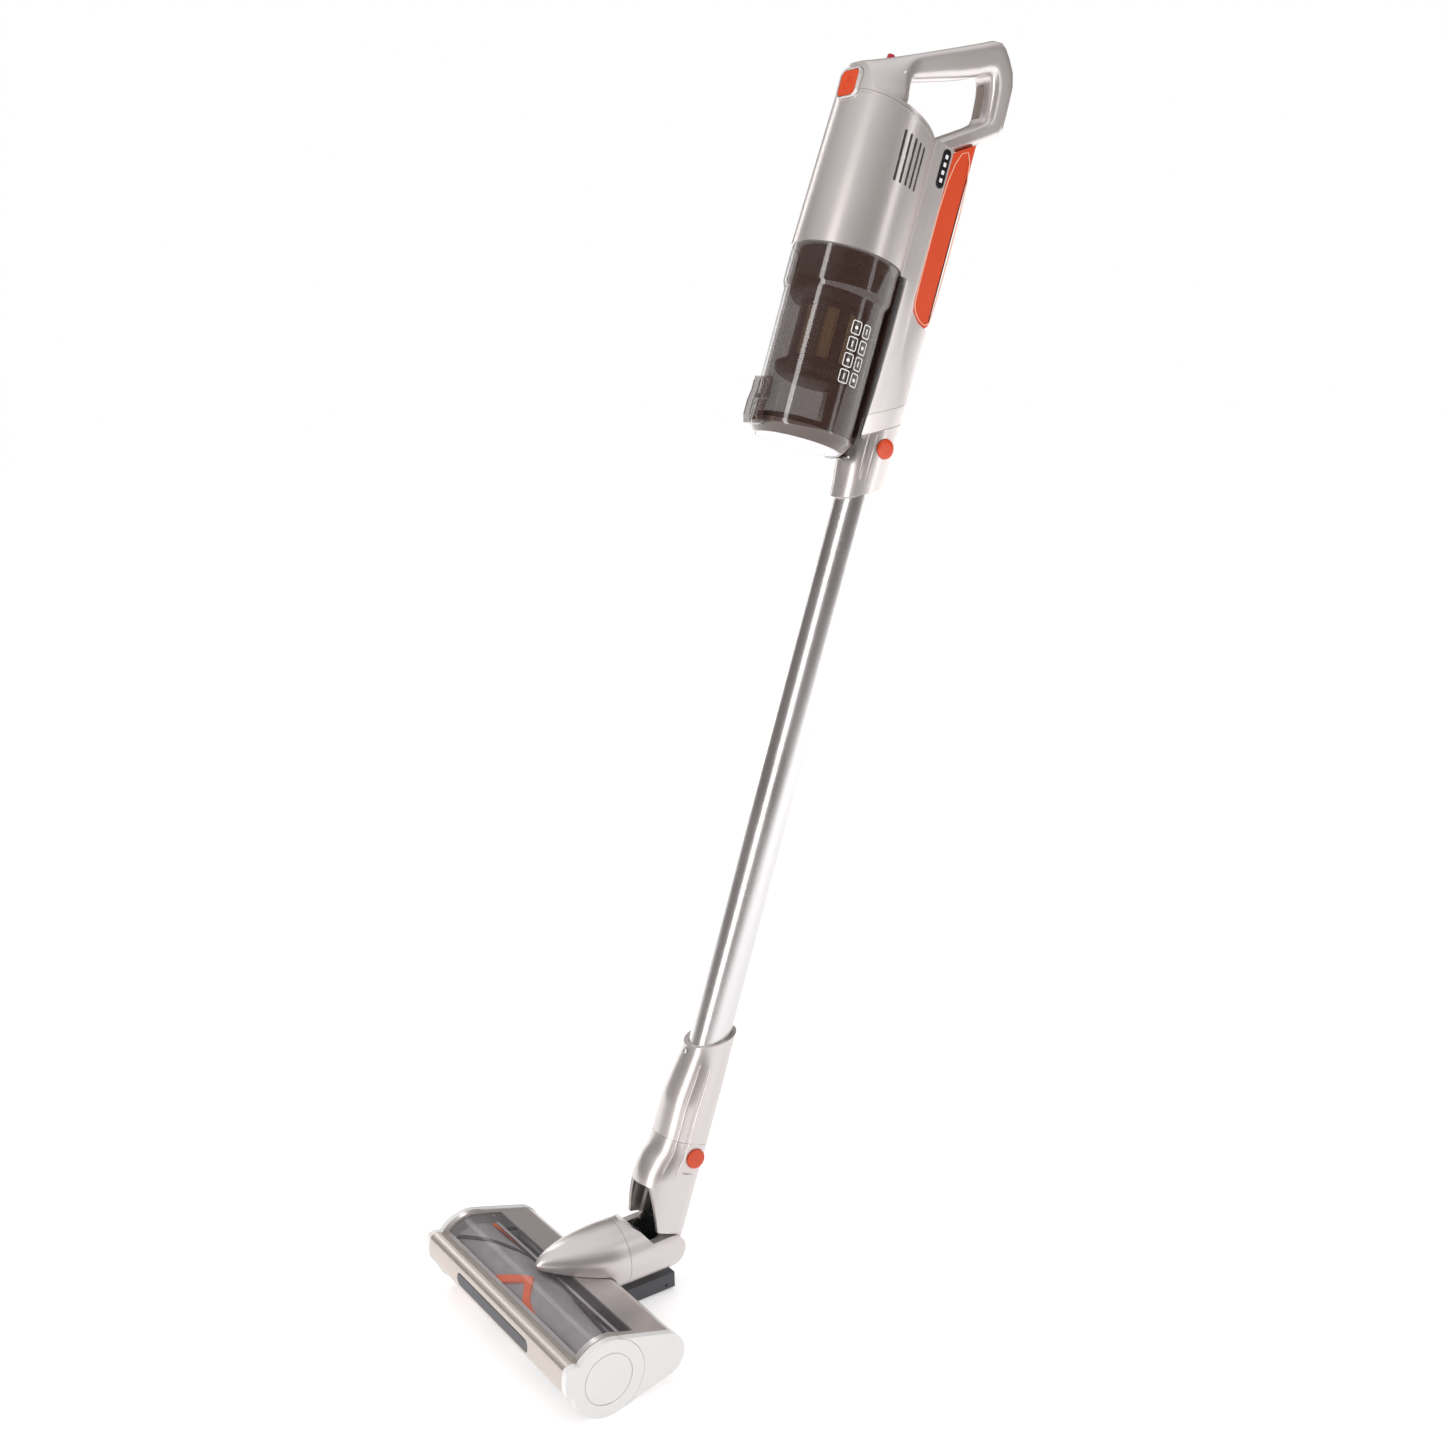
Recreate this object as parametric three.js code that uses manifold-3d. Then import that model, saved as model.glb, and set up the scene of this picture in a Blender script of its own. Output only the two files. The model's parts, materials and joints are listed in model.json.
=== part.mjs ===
// Cordless stick vacuum: floor head, articulated neck, wand, and a hand unit with dust cup.
// Millimetres, +Z up. Floor at z = 0, +X along the floor head, -Y to the front.
import * as THREE from 'three';
import { mergeVertices } from 'three/addons/utils/BufferGeometryUtils.js';
import Module from 'manifold-3d';

const wasm = await Module();
wasm.setup();

// ---------------------------------------------------------------- driving dimensions
const LEAN = 20; // degrees the wand leans back at rest
const PIVOT_HEIGHT = 52; // neck hinge above the floor
const CLEAR = 0.3; // gap between touching pieces
const RUN = 0.5; // gap round pieces that move

// Wand, measured along its own axis from the neck hinge
const TUBE_R = 17;
const TUBE_WALL = 1.2;
const TUBE_LOW = 140;
const TUBE_HIGH = 706;
const HAND_DATUM = 706; // heights in the hand unit count the tube's top end as this
const SOCKET_WALL = 4;
const LOWER_MOUTH = 181;
const UPPER_MOUTH = 666;
const MOUTH_SLOPE = 0.53; // rise of the slanted mouths and seams towards the rear
const DUCT_R = 14.5;
const COLLAR_LOW = 12.4; // lower end of the collar above the hinge
const COLLAR_TOP = 91;
const COLLAR_HOLLOW_TOP = 62;
const COLLAR_Y = -8.5; // the collar bulges to the front of the tube axis
const COLLAR_A = 25.5;
const COLLAR_B = 28.5;
const COLLAR_WALL = 3;
const SCREW_Z = 165;
const SCREW_R = 1.6;
const SCREW_HEAD_R = 2.8;
const RELEASE_R = 8.5;
const RELEASE_TRAVEL = 2.5;
const LOWER_RELEASE_Z = 79;
const UPPER_RELEASE_Z = 704;
const COLLAR_SEAM = 722;
const SPINE_SEAM = 739.5;

// Hand unit
const CUP_Y = -74; // axis of the dust cup and motor housing, in front of the tube axis
const HOUSING_R = 47;
const HOUSING_WALL = 2.4;
const HOUSING_LOW = 841;
const HOUSING_FRONT_TOP = 969.5; // height of the slanted rim at the front
const HOUSING_SLOPE = 0.27; // fall of the slanted rim towards the rear
const HOUSING_TAPER = 4.5; // how far the front leans back at the rim
const CUP_R = 43.3;
const CUP_BAND_R = 45.7;
const CUP_WALL = 2;
const CUP_BAND_LOW = 810;
const LID_TOP = 696.7;
const LID_THICK = 11.5;
const LID_DISC_R = 35.8;
const LID_DISC_THICK = 3;
const BACK_PLATE_THICK = 4;
const BACK_PLATE_HALF = 28;
const BACK_PLATE_FRONT = -35.3;
const SPINE_FACE = -31.2; // front edges of the spine beside the cup
const SPINE_HALF = 25;
const SPINE_TOP = 958;
const SPINE_REAR = 17;
const BATTERY_HALF = 20.8;
const BATTERY_LOW = 812;
const BATTERY_TOP = 955.5; // at its front edge
const BATTERY_RISE = 0.71; // slope of its top edge
const BATTERY_FRONT = -11;
const INNER_HALF = 18; // the narrower front part of the pack
const INNER_FRONT = -21.8;
const INNER_LOW = 817;
const INNER_HIGH = 950;
const CELL_R = 9.2;
const CELL_STACK = 130.6; // two cells end to end
const MOTOR_R = 30;
const MOTOR_LOW = 872;
const MOTOR_HIGH = 925;
const MOUNT_Z = 896;
const MOUNT_THICK = 10;
const IMPELLER_LOW = 857;
const IMPELLER_R = 28;
const FILTER_CORE_R = 27;
const FILTER_RING_R = 38.5;
const CORE_LOW = 750;
const RING_LOW = 800;
const CORE_INNER = 20;
const SKIRT_R = 35;
const PORT_LOW = 752; // air inlet from the spine into the cup
const PORT_HIGH = 792;
const PORT_HALF = 12;
const RAIL_HALF = 29.5;
const HINGE_Y = -29.2;
const HINGE_Z = 688;
const LID_PIN_R = 1.5;
const LATCH_Z = 712;
const LATCH_HALF = 11;
const GRIP_HALF = 14;
const BUTTON_SIZE = 21;
const BUTTON_Z = 973;
const BUTTON_FRONT = -116.9; // front of the housing at the power button
const BOOST_R = 3.2;
const BOOST_Y = -83;
const BOOST_Z = 1008.3;
const INDICATOR_Y = -19;
const INDICATOR_Z = 939;

// Neck and floor head
const NECK_R = 28.5;
const SEAM_Y = -43; // swivel seam in front of the hinge
const CHEEK_IN = 18.9; // inner face of the yoke cheeks
const EAR_OUT = 18.4;
const EAR_THICK = 4.6;
const EAR_R = 11;
const PIN_R = 3.6;
const HOSE_R = 11.5;
const HOSE_WALL = 1.5;
const HOSE_STRAIGHT = 34; // reach of the hose in front of the hinge
const HOSE_TURN = 17.5; // start of its bend on either side of the hinge
const SLOT_FLOOR = -15.5;
const SLOT_FRONT = -24;
const NECK_BORE = 14;
const NOSE_WALL = 2.6;
const HEAD_HALF = 123;
const CAP_THICK = 6;
const CAP_R = 32;
const SHELL_R = 31.4;
const SHELL_WALL = 2.2;
const BRUSH_Y = -123;
const BRUSH_R = 28.4;
const BRUSH_HALF = 104;
const CORE_R = 15;
const AXLE_R = 4;
const CAP_GROOVE_R = 20.6;
const TUNNEL_R = 29.2;
const LOBE_Y = -72;
const LOBE_Z = 31;
const LOBE_R = 18.6;
const WINDOW_HALF = 111;
const WINDOW_FRONT_Z = 53.5;
const WINDOW_REAR_Y = -93;
const STRIP_HALF = 62;
const BRACKET_HALF = 8;
const BRACKET_TOP = 16;
const REAR_WHEEL_R = 6;
const REAR_WHEEL_Y = 3;
const WHEEL_HALF = 4.5;
const PULLEY_SMALL_R = 5;
const PULLEY_LARGE_R = 12;
const PULLEY_X = -110;
const PULLEY_WIDTH = 5;
const DRIVE_R = 9.5;
const DRIVE_Y = -77;
const DRIVE_Z = 30;

const BIG_ROUND = 52; // facets on the widest round pieces
const ROUND = 32;
const SMALL_ROUND = 14;
const SILVER = 0xc9bfb6;
const ORANGE = 0xe4531c;
const BLACK = 0x1d1c1e;

// ---------------------------------------------------------------- solids
const rad = THREE.MathUtils.degToRad;
const v3 = (x, y, z) => new THREE.Vector3(x, y, z);

function solid(geometry) {
  const bare = geometry.clone();
  bare.deleteAttribute('normal');
  bare.deleteAttribute('uv');
  const merged = mergeVertices(bare, 1e-4);
  const mesh = new wasm.Mesh({
    numProp: 3,
    vertProperties: new Float32Array(merged.attributes.position.array),
    triVerts: new Uint32Array(merged.index.array),
  });
  mesh.merge();
  return new wasm.Manifold(mesh);
}

function geometryOf(body) {
  const mesh = body.getMesh();
  const geometry = new THREE.BufferGeometry();
  geometry.setAttribute('position', new THREE.BufferAttribute(new Float32Array(mesh.vertProperties), 3));
  geometry.setIndex(new THREE.BufferAttribute(new Uint32Array(mesh.triVerts), 1));
  return geometry;
}

const join = (first, ...rest) => rest.reduce((a, b) => a.add(b), first);
const cut = (first, ...rest) => rest.reduce((a, b) => a.subtract(b), first);

function box(x0, x1, y0, y1, z0, z1) {
  const geometry = new THREE.BoxGeometry(x1 - x0, y1 - y0, z1 - z0);
  return solid(geometry.translate((x0 + x1) / 2, (y0 + y1) / 2, (z0 + z1) / 2));
}

function cylinderZ(radius, z0, z1, y = 0, x = 0, facets = ROUND) {
  const geometry = new THREE.CylinderGeometry(radius, radius, z1 - z0, facets);
  return solid(geometry.rotateX(Math.PI / 2).translate(x, y, (z0 + z1) / 2));
}

function cylinderX(radius, x0, x1, y, z, facets = ROUND) {
  const geometry = new THREE.CylinderGeometry(radius, radius, x1 - x0, facets);
  return solid(geometry.rotateZ(Math.PI / 2).translate((x0 + x1) / 2, y, z));
}

function cylinderY(radius, y0, y1, x, z, facets = ROUND) {
  const geometry = new THREE.CylinderGeometry(radius, radius, y1 - y0, facets);
  return solid(geometry.translate(x, (y0 + y1) / 2, z));
}

// A closed profile of [radius, z] turned about a vertical axis at y
function turned(profile, y = 0, facets = ROUND) {
  const points = [...profile, profile[0]].map(([r, z]) => new THREE.Vector2(r, z));
  const geometry = new THREE.LatheGeometry(points, facets).rotateX(Math.PI / 2);
  return positive(geometry.translate(0, y, 0));
}

// Keeps a closed mesh that came out inside out from failing
function positive(geometry) {
  const body = solid(geometry);
  if (body.volume() > 0) return body;
  const flipped = mergeVertices(geometry.clone().deleteAttribute('normal').deleteAttribute('uv'), 1e-4);
  const index = flipped.index.array;
  for (let i = 0; i < index.length; i += 3) {
    [index[i], index[i + 1]] = [index[i + 1], index[i]];
  }
  return solid(flipped);
}

function shapeOf(outline) {
  return outline instanceof THREE.Shape
    ? outline
    : new THREE.Shape(outline.map(([a, b]) => new THREE.Vector2(a, b)));
}

// An outline of [y, z] points pushed along X
function sideways(outline, x0, x1, curveSegments = 10) {
  const settings = { depth: x1 - x0, bevelEnabled: false, curveSegments };
  const geometry = new THREE.ExtrudeGeometry(shapeOf(outline), settings);
  const basis = new THREE.Matrix4().makeBasis(v3(0, 1, 0), v3(0, 0, 1), v3(1, 0, 0));
  return solid(geometry.applyMatrix4(basis).translate(x0, 0, 0));
}

// An outline of [x, z] points pushed along Y
function forwards(outline, y0, y1, curveSegments = 6) {
  const settings = { depth: y1 - y0, bevelEnabled: false, curveSegments };
  const geometry = new THREE.ExtrudeGeometry(shapeOf(outline), settings);
  const basis = new THREE.Matrix4().makeBasis(v3(1, 0, 0), v3(0, 0, 1), v3(0, -1, 0));
  return solid(geometry.applyMatrix4(basis).translate(0, y1, 0));
}

// A rounded rectangle centred on (a, b)
function roundedRect(a, b, halfA, halfB, radius) {
  const shape = new THREE.Shape();
  const corners = [
    [a + halfA - radius, b + halfB - radius, 0],
    [a - halfA + radius, b + halfB - radius, 90],
    [a - halfA + radius, b - halfB + radius, 180],
    [a + halfA - radius, b - halfB + radius, 270],
  ];
  for (const [x, y, start] of corners) {
    shape.absarc(x, y, radius, rad(start), rad(start + 90), false);
  }
  return shape;
}

// Skin through rings of equal point count, closed by a fan at each end
function loft(rings) {
  const count = rings[0].length;
  const positions = rings.flat().flatMap((p) => [p.x, p.y, p.z]);
  const index = [];
  for (let i = 0; i + 1 < rings.length; i += 1) {
    for (let k = 0; k < count; k += 1) {
      const a = i * count + k;
      const b = i * count + ((k + 1) % count);
      index.push(a, b, b + count, a, b + count, a + count);
    }
  }
  for (const [ring, flip] of [[0, true], [rings.length - 1, false]]) {
    const centre = rings[ring].reduce((sum, p) => sum.add(p), v3(0, 0, 0)).divideScalar(count);
    const hub = positions.length / 3;
    positions.push(centre.x, centre.y, centre.z);
    for (let k = 0; k < count; k += 1) {
      const a = ring * count + k;
      const b = ring * count + ((k + 1) % count);
      index.push(...(flip ? [hub, b, a] : [hub, a, b]));
    }
  }
  const geometry = new THREE.BufferGeometry();
  geometry.setAttribute('position', new THREE.Float32BufferAttribute(positions, 3));
  geometry.setIndex(index);
  return positive(geometry);
}

// A level oval ring of half widths a (X) and b (Y)
function oval(a, b, y, z, count = ROUND) {
  return Array.from({ length: count }, (_, k) => {
    const angle = (2 * Math.PI * k) / count;
    return v3(a * Math.cos(angle), y + b * Math.sin(angle), z);
  });
}

// Half space above (side 1) or below (side -1) the plane z = level + slope * (y - y0)
function halfSpace(side, level, slope, y0) {
  const reach = 200;
  const rise = slope * reach;
  const far = level + side * 400;
  const line = [[y0 - reach, level - rise], [y0 + reach, level + rise]];
  const back = [[y0 + reach, far + rise], [y0 - reach, far - rise]];
  return sideways([...line, ...back], -reach, reach);
}
const above = (level, slope = 0, y0 = 0) => halfSpace(1, level, slope, y0);
const below = (level, slope = 0, y0 = 0) => halfSpace(-1, level, slope, y0);

const group = new THREE.Group();
const wand = new THREE.Group();
wand.position.set(0, 0, PIVOT_HEIGHT);
wand.rotation.x = -rad(LEAN);
group.add(wand);
const hand = new THREE.Group();
hand.position.z = TUBE_HIGH - HAND_DATUM;
wand.add(hand);

function add(parent, name, body, color, roughness = 0.5, metalness = 0) {
  const material = new THREE.MeshStandardMaterial({ color, roughness, metalness });
  const mesh = new THREE.Mesh(geometryOf(body), material);
  mesh.name = name;
  parent.add(mesh);
}

// ---------------------------------------------------------------- wand and its connectors
const lowerMouth = (gap) => above(LOWER_MOUTH + gap, MOUTH_SLOPE);
const upperMouth = (gap) => below(UPPER_MOUTH + gap, MOUTH_SLOPE);
const tubeSpace = cylinderZ(TUBE_R + CLEAR, TUBE_LOW - CLEAR, TUBE_HIGH + CLEAR);
const upperSocket = cylinderZ(TUBE_R + CLEAR, HAND_DATUM - 100, HAND_DATUM + CLEAR);

function releaseRecess(z) {
  return cylinderX(RELEASE_R + CLEAR, TUBE_R + 0.2, 60, 0, z, SMALL_ROUND);
}

function releaseButton(z, faceX) {
  const stemEnd = TUBE_R + RUN + RELEASE_TRAVEL;
  const stem = cylinderX(RELEASE_R - 2, stemEnd, faceX - 2, 0, z, SMALL_ROUND);
  const dome = new THREE.SphereGeometry(30, 32, 24).translate(faceX - 29, 0, z);
  const head = cylinderX(RELEASE_R, faceX - 3, faceX + 2, 0, z, SMALL_ROUND).intersect(solid(dome));
  return join(head, stem);
}

function wandTube() {
  return turned([
    [TUBE_R - TUBE_WALL, TUBE_LOW], [TUBE_R, TUBE_LOW],
    [TUBE_R, TUBE_HIGH], [TUBE_R - TUBE_WALL, TUBE_HIGH],
  ]);
}

function lowerConnector() {
  const outer = loft([
    oval(24.5, 24.5, -4, COLLAR_TOP + CLEAR),
    oval(24.5, 24.5, -4, 127),
    oval(23, 23, -1.8, 145),
    oval(21.6, 21.6, -0.4, 160),
    oval(TUBE_R + SOCKET_WALL, TUBE_R + SOCKET_WALL, 0, 205),
  ]);
  const duct = cylinderZ(DUCT_R, 80, 200);
  return cut(outer, lowerMouth(0), duct, tubeSpace, screwHole());
}

const screwHole = () => cylinderY(SCREW_R + 0.15, -30, -TUBE_R + 1, 0, SCREW_Z, SMALL_ROUND);

function connectorScrew() {
  const shank = cylinderY(SCREW_R, -23, -TUBE_R - CLEAR - 0.2, 0, SCREW_Z, SMALL_ROUND);
  const head = cylinderY(SCREW_HEAD_R, -23.6, -22.3, 0, SCREW_Z, SMALL_ROUND);
  const slotA = box(-0.4, 0.4, -24, -22.9, SCREW_Z - 1.8, SCREW_Z + 1.8);
  const slotB = box(-1.8, 1.8, -24, -22.9, SCREW_Z - 0.4, SCREW_Z + 0.4);
  return cut(join(shank, head), slotA, slotB);
}

function lowerCollar() {
  const outer = loft([
    oval(COLLAR_A, COLLAR_B, COLLAR_Y, COLLAR_LOW),
    oval(COLLAR_A, COLLAR_B, COLLAR_Y, 58),
    oval(25.2, 27, -7, 70),
    oval(24.5, 24.5, -4, 82),
    oval(24.5, 24.5, -4, COLLAR_TOP),
  ]);
  const hollow = loft([
    oval(COLLAR_A - COLLAR_WALL, COLLAR_B - COLLAR_WALL, COLLAR_Y, COLLAR_LOW - 5),
    oval(COLLAR_A - COLLAR_WALL, COLLAR_B - COLLAR_WALL, COLLAR_Y, COLLAR_HOLLOW_TOP - 12),
    oval(DUCT_R, DUCT_R, 0, COLLAR_HOLLOW_TOP),
  ]);
  const duct = cylinderZ(DUCT_R, 50, COLLAR_TOP + 10);
  const front = [[-60, 48], [-31.5, 48], [-18.3, COLLAR_LOW - 1], [-18.3, 0], [-60, 0]];
  const frontCut = sideways(front, -60, 60);
  const shell = cut(outer, hollow, duct, frontCut, releaseRecess(LOWER_RELEASE_Z));
  const ears = [-1, 1].map((side) => {
    const inner = side * (EAR_OUT - EAR_THICK);
    const x0 = Math.min(inner, side * EAR_OUT);
    const x1 = Math.max(inner, side * EAR_OUT);
    const round = cylinderX(EAR_R, x0, x1, 0, 0, SMALL_ROUND);
    const hole = cylinderX(PIN_R + 0.1, x0 - 1, x1 + 1, 0, 0, SMALL_ROUND);
    return cut(join(round, box(x0, x1, -EAR_R, EAR_R, 0, COLLAR_HOLLOW_TOP + 4)), hole);
  });
  return join(shell, ...ears);
}

function upperConnector() {
  const outer = loft([
    oval(TUBE_R + SOCKET_WALL, TUBE_R + SOCKET_WALL, 0, UPPER_MOUTH - 14),
    oval(22.6, 22.6, -0.5, UPPER_MOUTH + 16),
    oval(23.4, 23.8, -1, 700),
    oval(23.4, 25, -2, 745),
  ]);
  const duct = cylinderZ(DUCT_R, 640, 780);
  const recess = releaseRecess(UPPER_RELEASE_Z);
  const seam = above(COLLAR_SEAM, MOUTH_SLOPE);
  return cut(outer, upperMouth(0), seam, duct, upperSocket, recess, plateSpace(CLEAR));
}

// ---------------------------------------------------------------- spine behind the cup
// The motor housing tapers, so that its front leans back while its rear stays straight
function housingBody(grow, low, high) {
  const ringAt = (z) => {
    const lean = (HOUSING_TAPER * (z - HOUSING_LOW)) / (HOUSING_FRONT_TOP - HOUSING_LOW);
    const halfWidth = HOUSING_R + grow - lean / 3;
    return oval(halfWidth, HOUSING_R + grow - lean / 2, CUP_Y + lean / 2, z, BIG_ROUND);
  };
  return loft([ringAt(low), ringAt(high)]);
}
const housingSpace = (gap) => housingBody(gap, HOUSING_LOW - 2, 1100);

// Level ring of the spine from [x, y] points of its right half, mirrored to the left
function spineRing(z, ...half) {
  const right = half.map(([x, y]) => v3(x, y, z));
  const left = half.toReversed().map(([x, y]) => v3(-x, y, z));
  return [...right, ...left];
}

const SPINE_INNER = -42; // hidden front of the spine beside the motor housing
const SPINE_CORNER = [SPINE_HALF, -23];
const SPINE_REST = [
  [SPINE_HALF, -12.5], [BATTERY_HALF + 0.4, -10],
  [BATTERY_HALF, SPINE_REAR - 5], [BATTERY_HALF - 5, SPINE_REAR],
];
const spineBody = loft([
  spineRing(690, [18, SPINE_FACE], [21.5, -22], [23, -6], [22.5, 5], [17.5, 15], [8, 21.5]),
  spineRing(742, [25, SPINE_FACE], [23, -22], [23.2, -6], [22.5, 5], [18, 15], [9, 21]),
  spineRing(790, [27.5, SPINE_FACE], [24, -22], [24, -11], [22, -8], [20, 12.5], [13, 18]),
  spineRing(BATTERY_LOW + 6, [BACK_PLATE_HALF, SPINE_FACE], SPINE_CORNER, ...SPINE_REST),
  spineRing(HOUSING_LOW, [BACK_PLATE_HALF, SPINE_FACE], SPINE_CORNER, ...SPINE_REST),
  spineRing(HOUSING_LOW + 0.5, [BACK_PLATE_HALF, SPINE_INNER], SPINE_CORNER, ...SPINE_REST),
  spineRing(SPINE_TOP, [SPINE_HALF, SPINE_INNER], SPINE_CORNER, ...SPINE_REST),
]);
// The cup's round back nests in a plate, and the plate in the spine
const PLATE_R = CUP_BAND_R + CLEAR;
const plateSpace = (gap) =>
  cylinderZ(PLATE_R + BACK_PLATE_THICK + gap, 600, HOUSING_LOW - 2, CUP_Y, 0, BIG_ROUND);
const port = (gap) => box(-PORT_HALF - gap, PORT_HALF + gap, -60, 0, PORT_LOW - gap, PORT_HIGH + gap);

// Side view of the battery pack: slanted top under the handle, rounded lower corner
function batterySide(gap) {
  const rear = SPINE_REAR + 20 * gap;
  const top = (y) => BATTERY_TOP + gap + BATTERY_RISE * (y - BATTERY_FRONT);
  const front = BATTERY_FRONT - gap;
  const low = BATTERY_LOW - 1.5 * gap;
  // The pocket has no rear corner, so that the pack slides straight out
  const rearLow = gap > 0 ? low : BATTERY_LOW + 6;
  return [
    [front, top(front)], [rear, top(rear)], [rear, rearLow], [SPINE_REAR - 7, low], [1, low + 2],
    [front + 3, BATTERY_LOW + 9 - gap], [front, BATTERY_LOW + 20],
  ];
}
function batteryEnvelope(gap) {
  const outer = sideways(batterySide(gap), -BATTERY_HALF - 20 * gap, BATTERY_HALF + 20 * gap);
  const wide = BATTERY_HALF + 60 * gap;
  const corners = [[wide, -40], [wide, SPINE_REAR - 5], [wide - 5, SPINE_REAR + 60 * gap]];
  const rounding = loft([700, 1000].map((z) => spineRing(z, ...corners)));
  const half = INNER_HALF + gap;
  const inner = box(-half, half, INNER_FRONT - gap, 5, INNER_LOW - gap, INNER_HIGH + gap);
  return join(outer.intersect(rounding), inner);
}

function spineShell() {
  const duct = join(cylinderZ(DUCT_R, 700, 780), cylinderX(DUCT_R, -PORT_HALF, PORT_HALF, 0, 780));
  const seam = below(SPINE_SEAM + CLEAR, MOUTH_SLOPE);
  const lens = indicatorSide(CLEAR, 1.5);
  const pockets = [plateSpace(CLEAR), housingSpace(CLEAR), batteryEnvelope(CLEAR), lens];
  return cut(spineBody, seam, duct, port(0), ...pockets);
}

function inletCollar() {
  const low = below(COLLAR_SEAM + CLEAR, MOUTH_SLOPE);
  const high = above(SPINE_SEAM, MOUTH_SLOPE);
  return cut(spineBody, low, high, cylinderZ(DUCT_R, 680, 800), plateSpace(CLEAR));
}

function cupBackPlate() {
  const high = HOUSING_LOW - 2.8;
  const sector = box(-BACK_PLATE_HALF, BACK_PLATE_HALF, BACK_PLATE_FRONT, 0, LID_TOP + 8, high);
  const cupSpace = cylinderZ(PLATE_R, 600, 900, CUP_Y, 0, BIG_ROUND);
  return cut(sector.intersect(plateSpace(0)), cupSpace, port(0));
}

function indicatorSide(gap, depth) {
  const lens = roundedRect(INDICATOR_Y, INDICATOR_Z, 4.3 + gap, 16.5 + gap, 4.2 + gap);
  return sideways(lens, SPINE_HALF - depth - gap, SPINE_HALF + 0.4, 5);
}

// ---------------------------------------------------------------- battery pack
function batteryCase() {
  const rearBay = box(-19.2, 19.2, -5, SPINE_REAR - 2.2, INNER_LOW + 2, INNER_LOW + 2 + CELL_STACK + 1);
  const frontBay = box(-15.5, 15.5, INNER_FRONT - 2, 0, INNER_LOW + 2, INNER_HIGH - 1.4);
  return cut(batteryEnvelope(0), rearBay, frontBay);
}

const batteryCover = () => box(-15, 15, INNER_FRONT, INNER_FRONT + 1.5, INNER_LOW + 2.4, INNER_HIGH - 1.8);

// ---------------------------------------------------------------- motor housing and handle
const housingTop = (gap, side) =>
  halfSpace(side, HOUSING_FRONT_TOP + gap, -HOUSING_SLOPE, CUP_Y - HOUSING_R);

const VENTS = 5;
const VENT_FIRST_Y = -82;
const VENT_PITCH = 5.75;
const VENT_LOW = 902;
const VENT_HIGH = 944;

function motorHousing() {
  const outer = housingBody(0, HOUSING_LOW + CLEAR, 1000);
  const inner = housingBody(-HOUSING_WALL, HOUSING_LOW - 5, 1010);
  const vents = [];
  for (let i = 0; i < VENTS; i += 1) {
    const y = VENT_FIRST_Y + i * VENT_PITCH;
    vents.push(box(-60, 60, y - 1.2, y + 1.2, VENT_LOW, VENT_HIGH - i * 1.3));
  }
  const shell = cut(outer, inner, housingTop(0, 1), ...vents);
  const button = buttonPocket(CLEAR);
  return cut(shell, button);
}

// The power button sits in a square pocket in the front of the housing
function buttonPocket(gap) {
  const half = BUTTON_SIZE / 2 + 2 + gap;
  return forwards(roundedRect(0, BUTTON_Z, half, half, 6), BUTTON_FRONT - 20, BUTTON_FRONT + 7);
}

function powerBezel() {
  const face = BUTTON_FRONT - 1.5;
  const half = BUTTON_SIZE / 2 + 2;
  const frame = forwards(roundedRect(0, BUTTON_Z, half, half, 6), face, face + 8);
  const holeHalf = BUTTON_SIZE / 2 + RUN;
  const hole = forwards(roundedRect(0, BUTTON_Z, holeHalf, holeHalf, 5), face - 5, face + 12);
  return cut(frame, hole);
}

function powerButton() {
  const face = BUTTON_FRONT - 1;
  const half = BUTTON_SIZE / 2;
  const keycap = forwards(roundedRect(0, BUTTON_Z, half, half, 4.6), face, face + 5);
  return join(keycap, cylinderY(3, face + 4, face + 8, 0, BUTTON_Z, SMALL_ROUND));
}

// Handle: rings from an outer point to the facing inner point, with the half width at each
const GRIP_RINGS = [
  [[-118.5, 988.5], [-118, 966], 10, 22],
  [[-115.5, 991.5], [-111, 962], 13, 28],
  [[-104, 997.5], [-96, 957], GRIP_HALF, 36],
  [[-92, 1004], [-84, 956], GRIP_HALF, 38],
  [[-80, 1010.8], [-75, 962], GRIP_HALF, 34],
  [[-72, 1015.4], [-71, 978], GRIP_HALF, 22],
  [[-66, 1018.8], [-68, 993], GRIP_HALF, 15],
  [[-57, 1024], [-59, 999], GRIP_HALF, GRIP_HALF],
  [[-3, 1056], [-6, 1023.5], GRIP_HALF, GRIP_HALF],
  [[17, 1068.5], [13, 1036], GRIP_HALF, GRIP_HALF],
  [[28, 1063.5], [19, 1036.5], GRIP_HALF, GRIP_HALF],
  [[44, 1045], [22.5, 1026], GRIP_HALF, GRIP_HALF],
  [[45.2, 1019], [24, 1013], GRIP_HALF, GRIP_HALF],
  [[45.8, 996.5], [25, 1001.5], GRIP_HALF, GRIP_HALF],
  [[35, 987.5], [19, 995], GRIP_HALF, GRIP_HALF],
  [[16.7, 974], [5, 984.5], GRIP_HALF, GRIP_HALF],
  [[-3, 960], [-12, 972], 15, 15],
  [[-18, 951], [-26, 961], 16, 16],
];
const RING_POINTS = 20;
const SQUARENESS = 0.55; // 1 is an ellipse, 0 a rectangle

function gripRing([outer, inner, outerHalf, innerHalf]) {
  const centre = [(outer[0] + inner[0]) / 2, (outer[1] + inner[1]) / 2];
  const reach = [(outer[0] - inner[0]) / 2, (outer[1] - inner[1]) / 2];
  return Array.from({ length: RING_POINTS }, (_, k) => {
    const angle = (2 * Math.PI * k) / RING_POINTS;
    const across = Math.sign(Math.cos(angle)) * Math.abs(Math.cos(angle)) ** SQUARENESS;
    const along = Math.sign(Math.sin(angle)) * Math.abs(Math.sin(angle)) ** SQUARENESS;
    const half = (outerHalf + innerHalf) / 2 + (along * (outerHalf - innerHalf)) / 2;
    return v3(half * across, centre[0] + reach[0] * along, centre[1] + reach[1] * along);
  });
}

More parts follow.
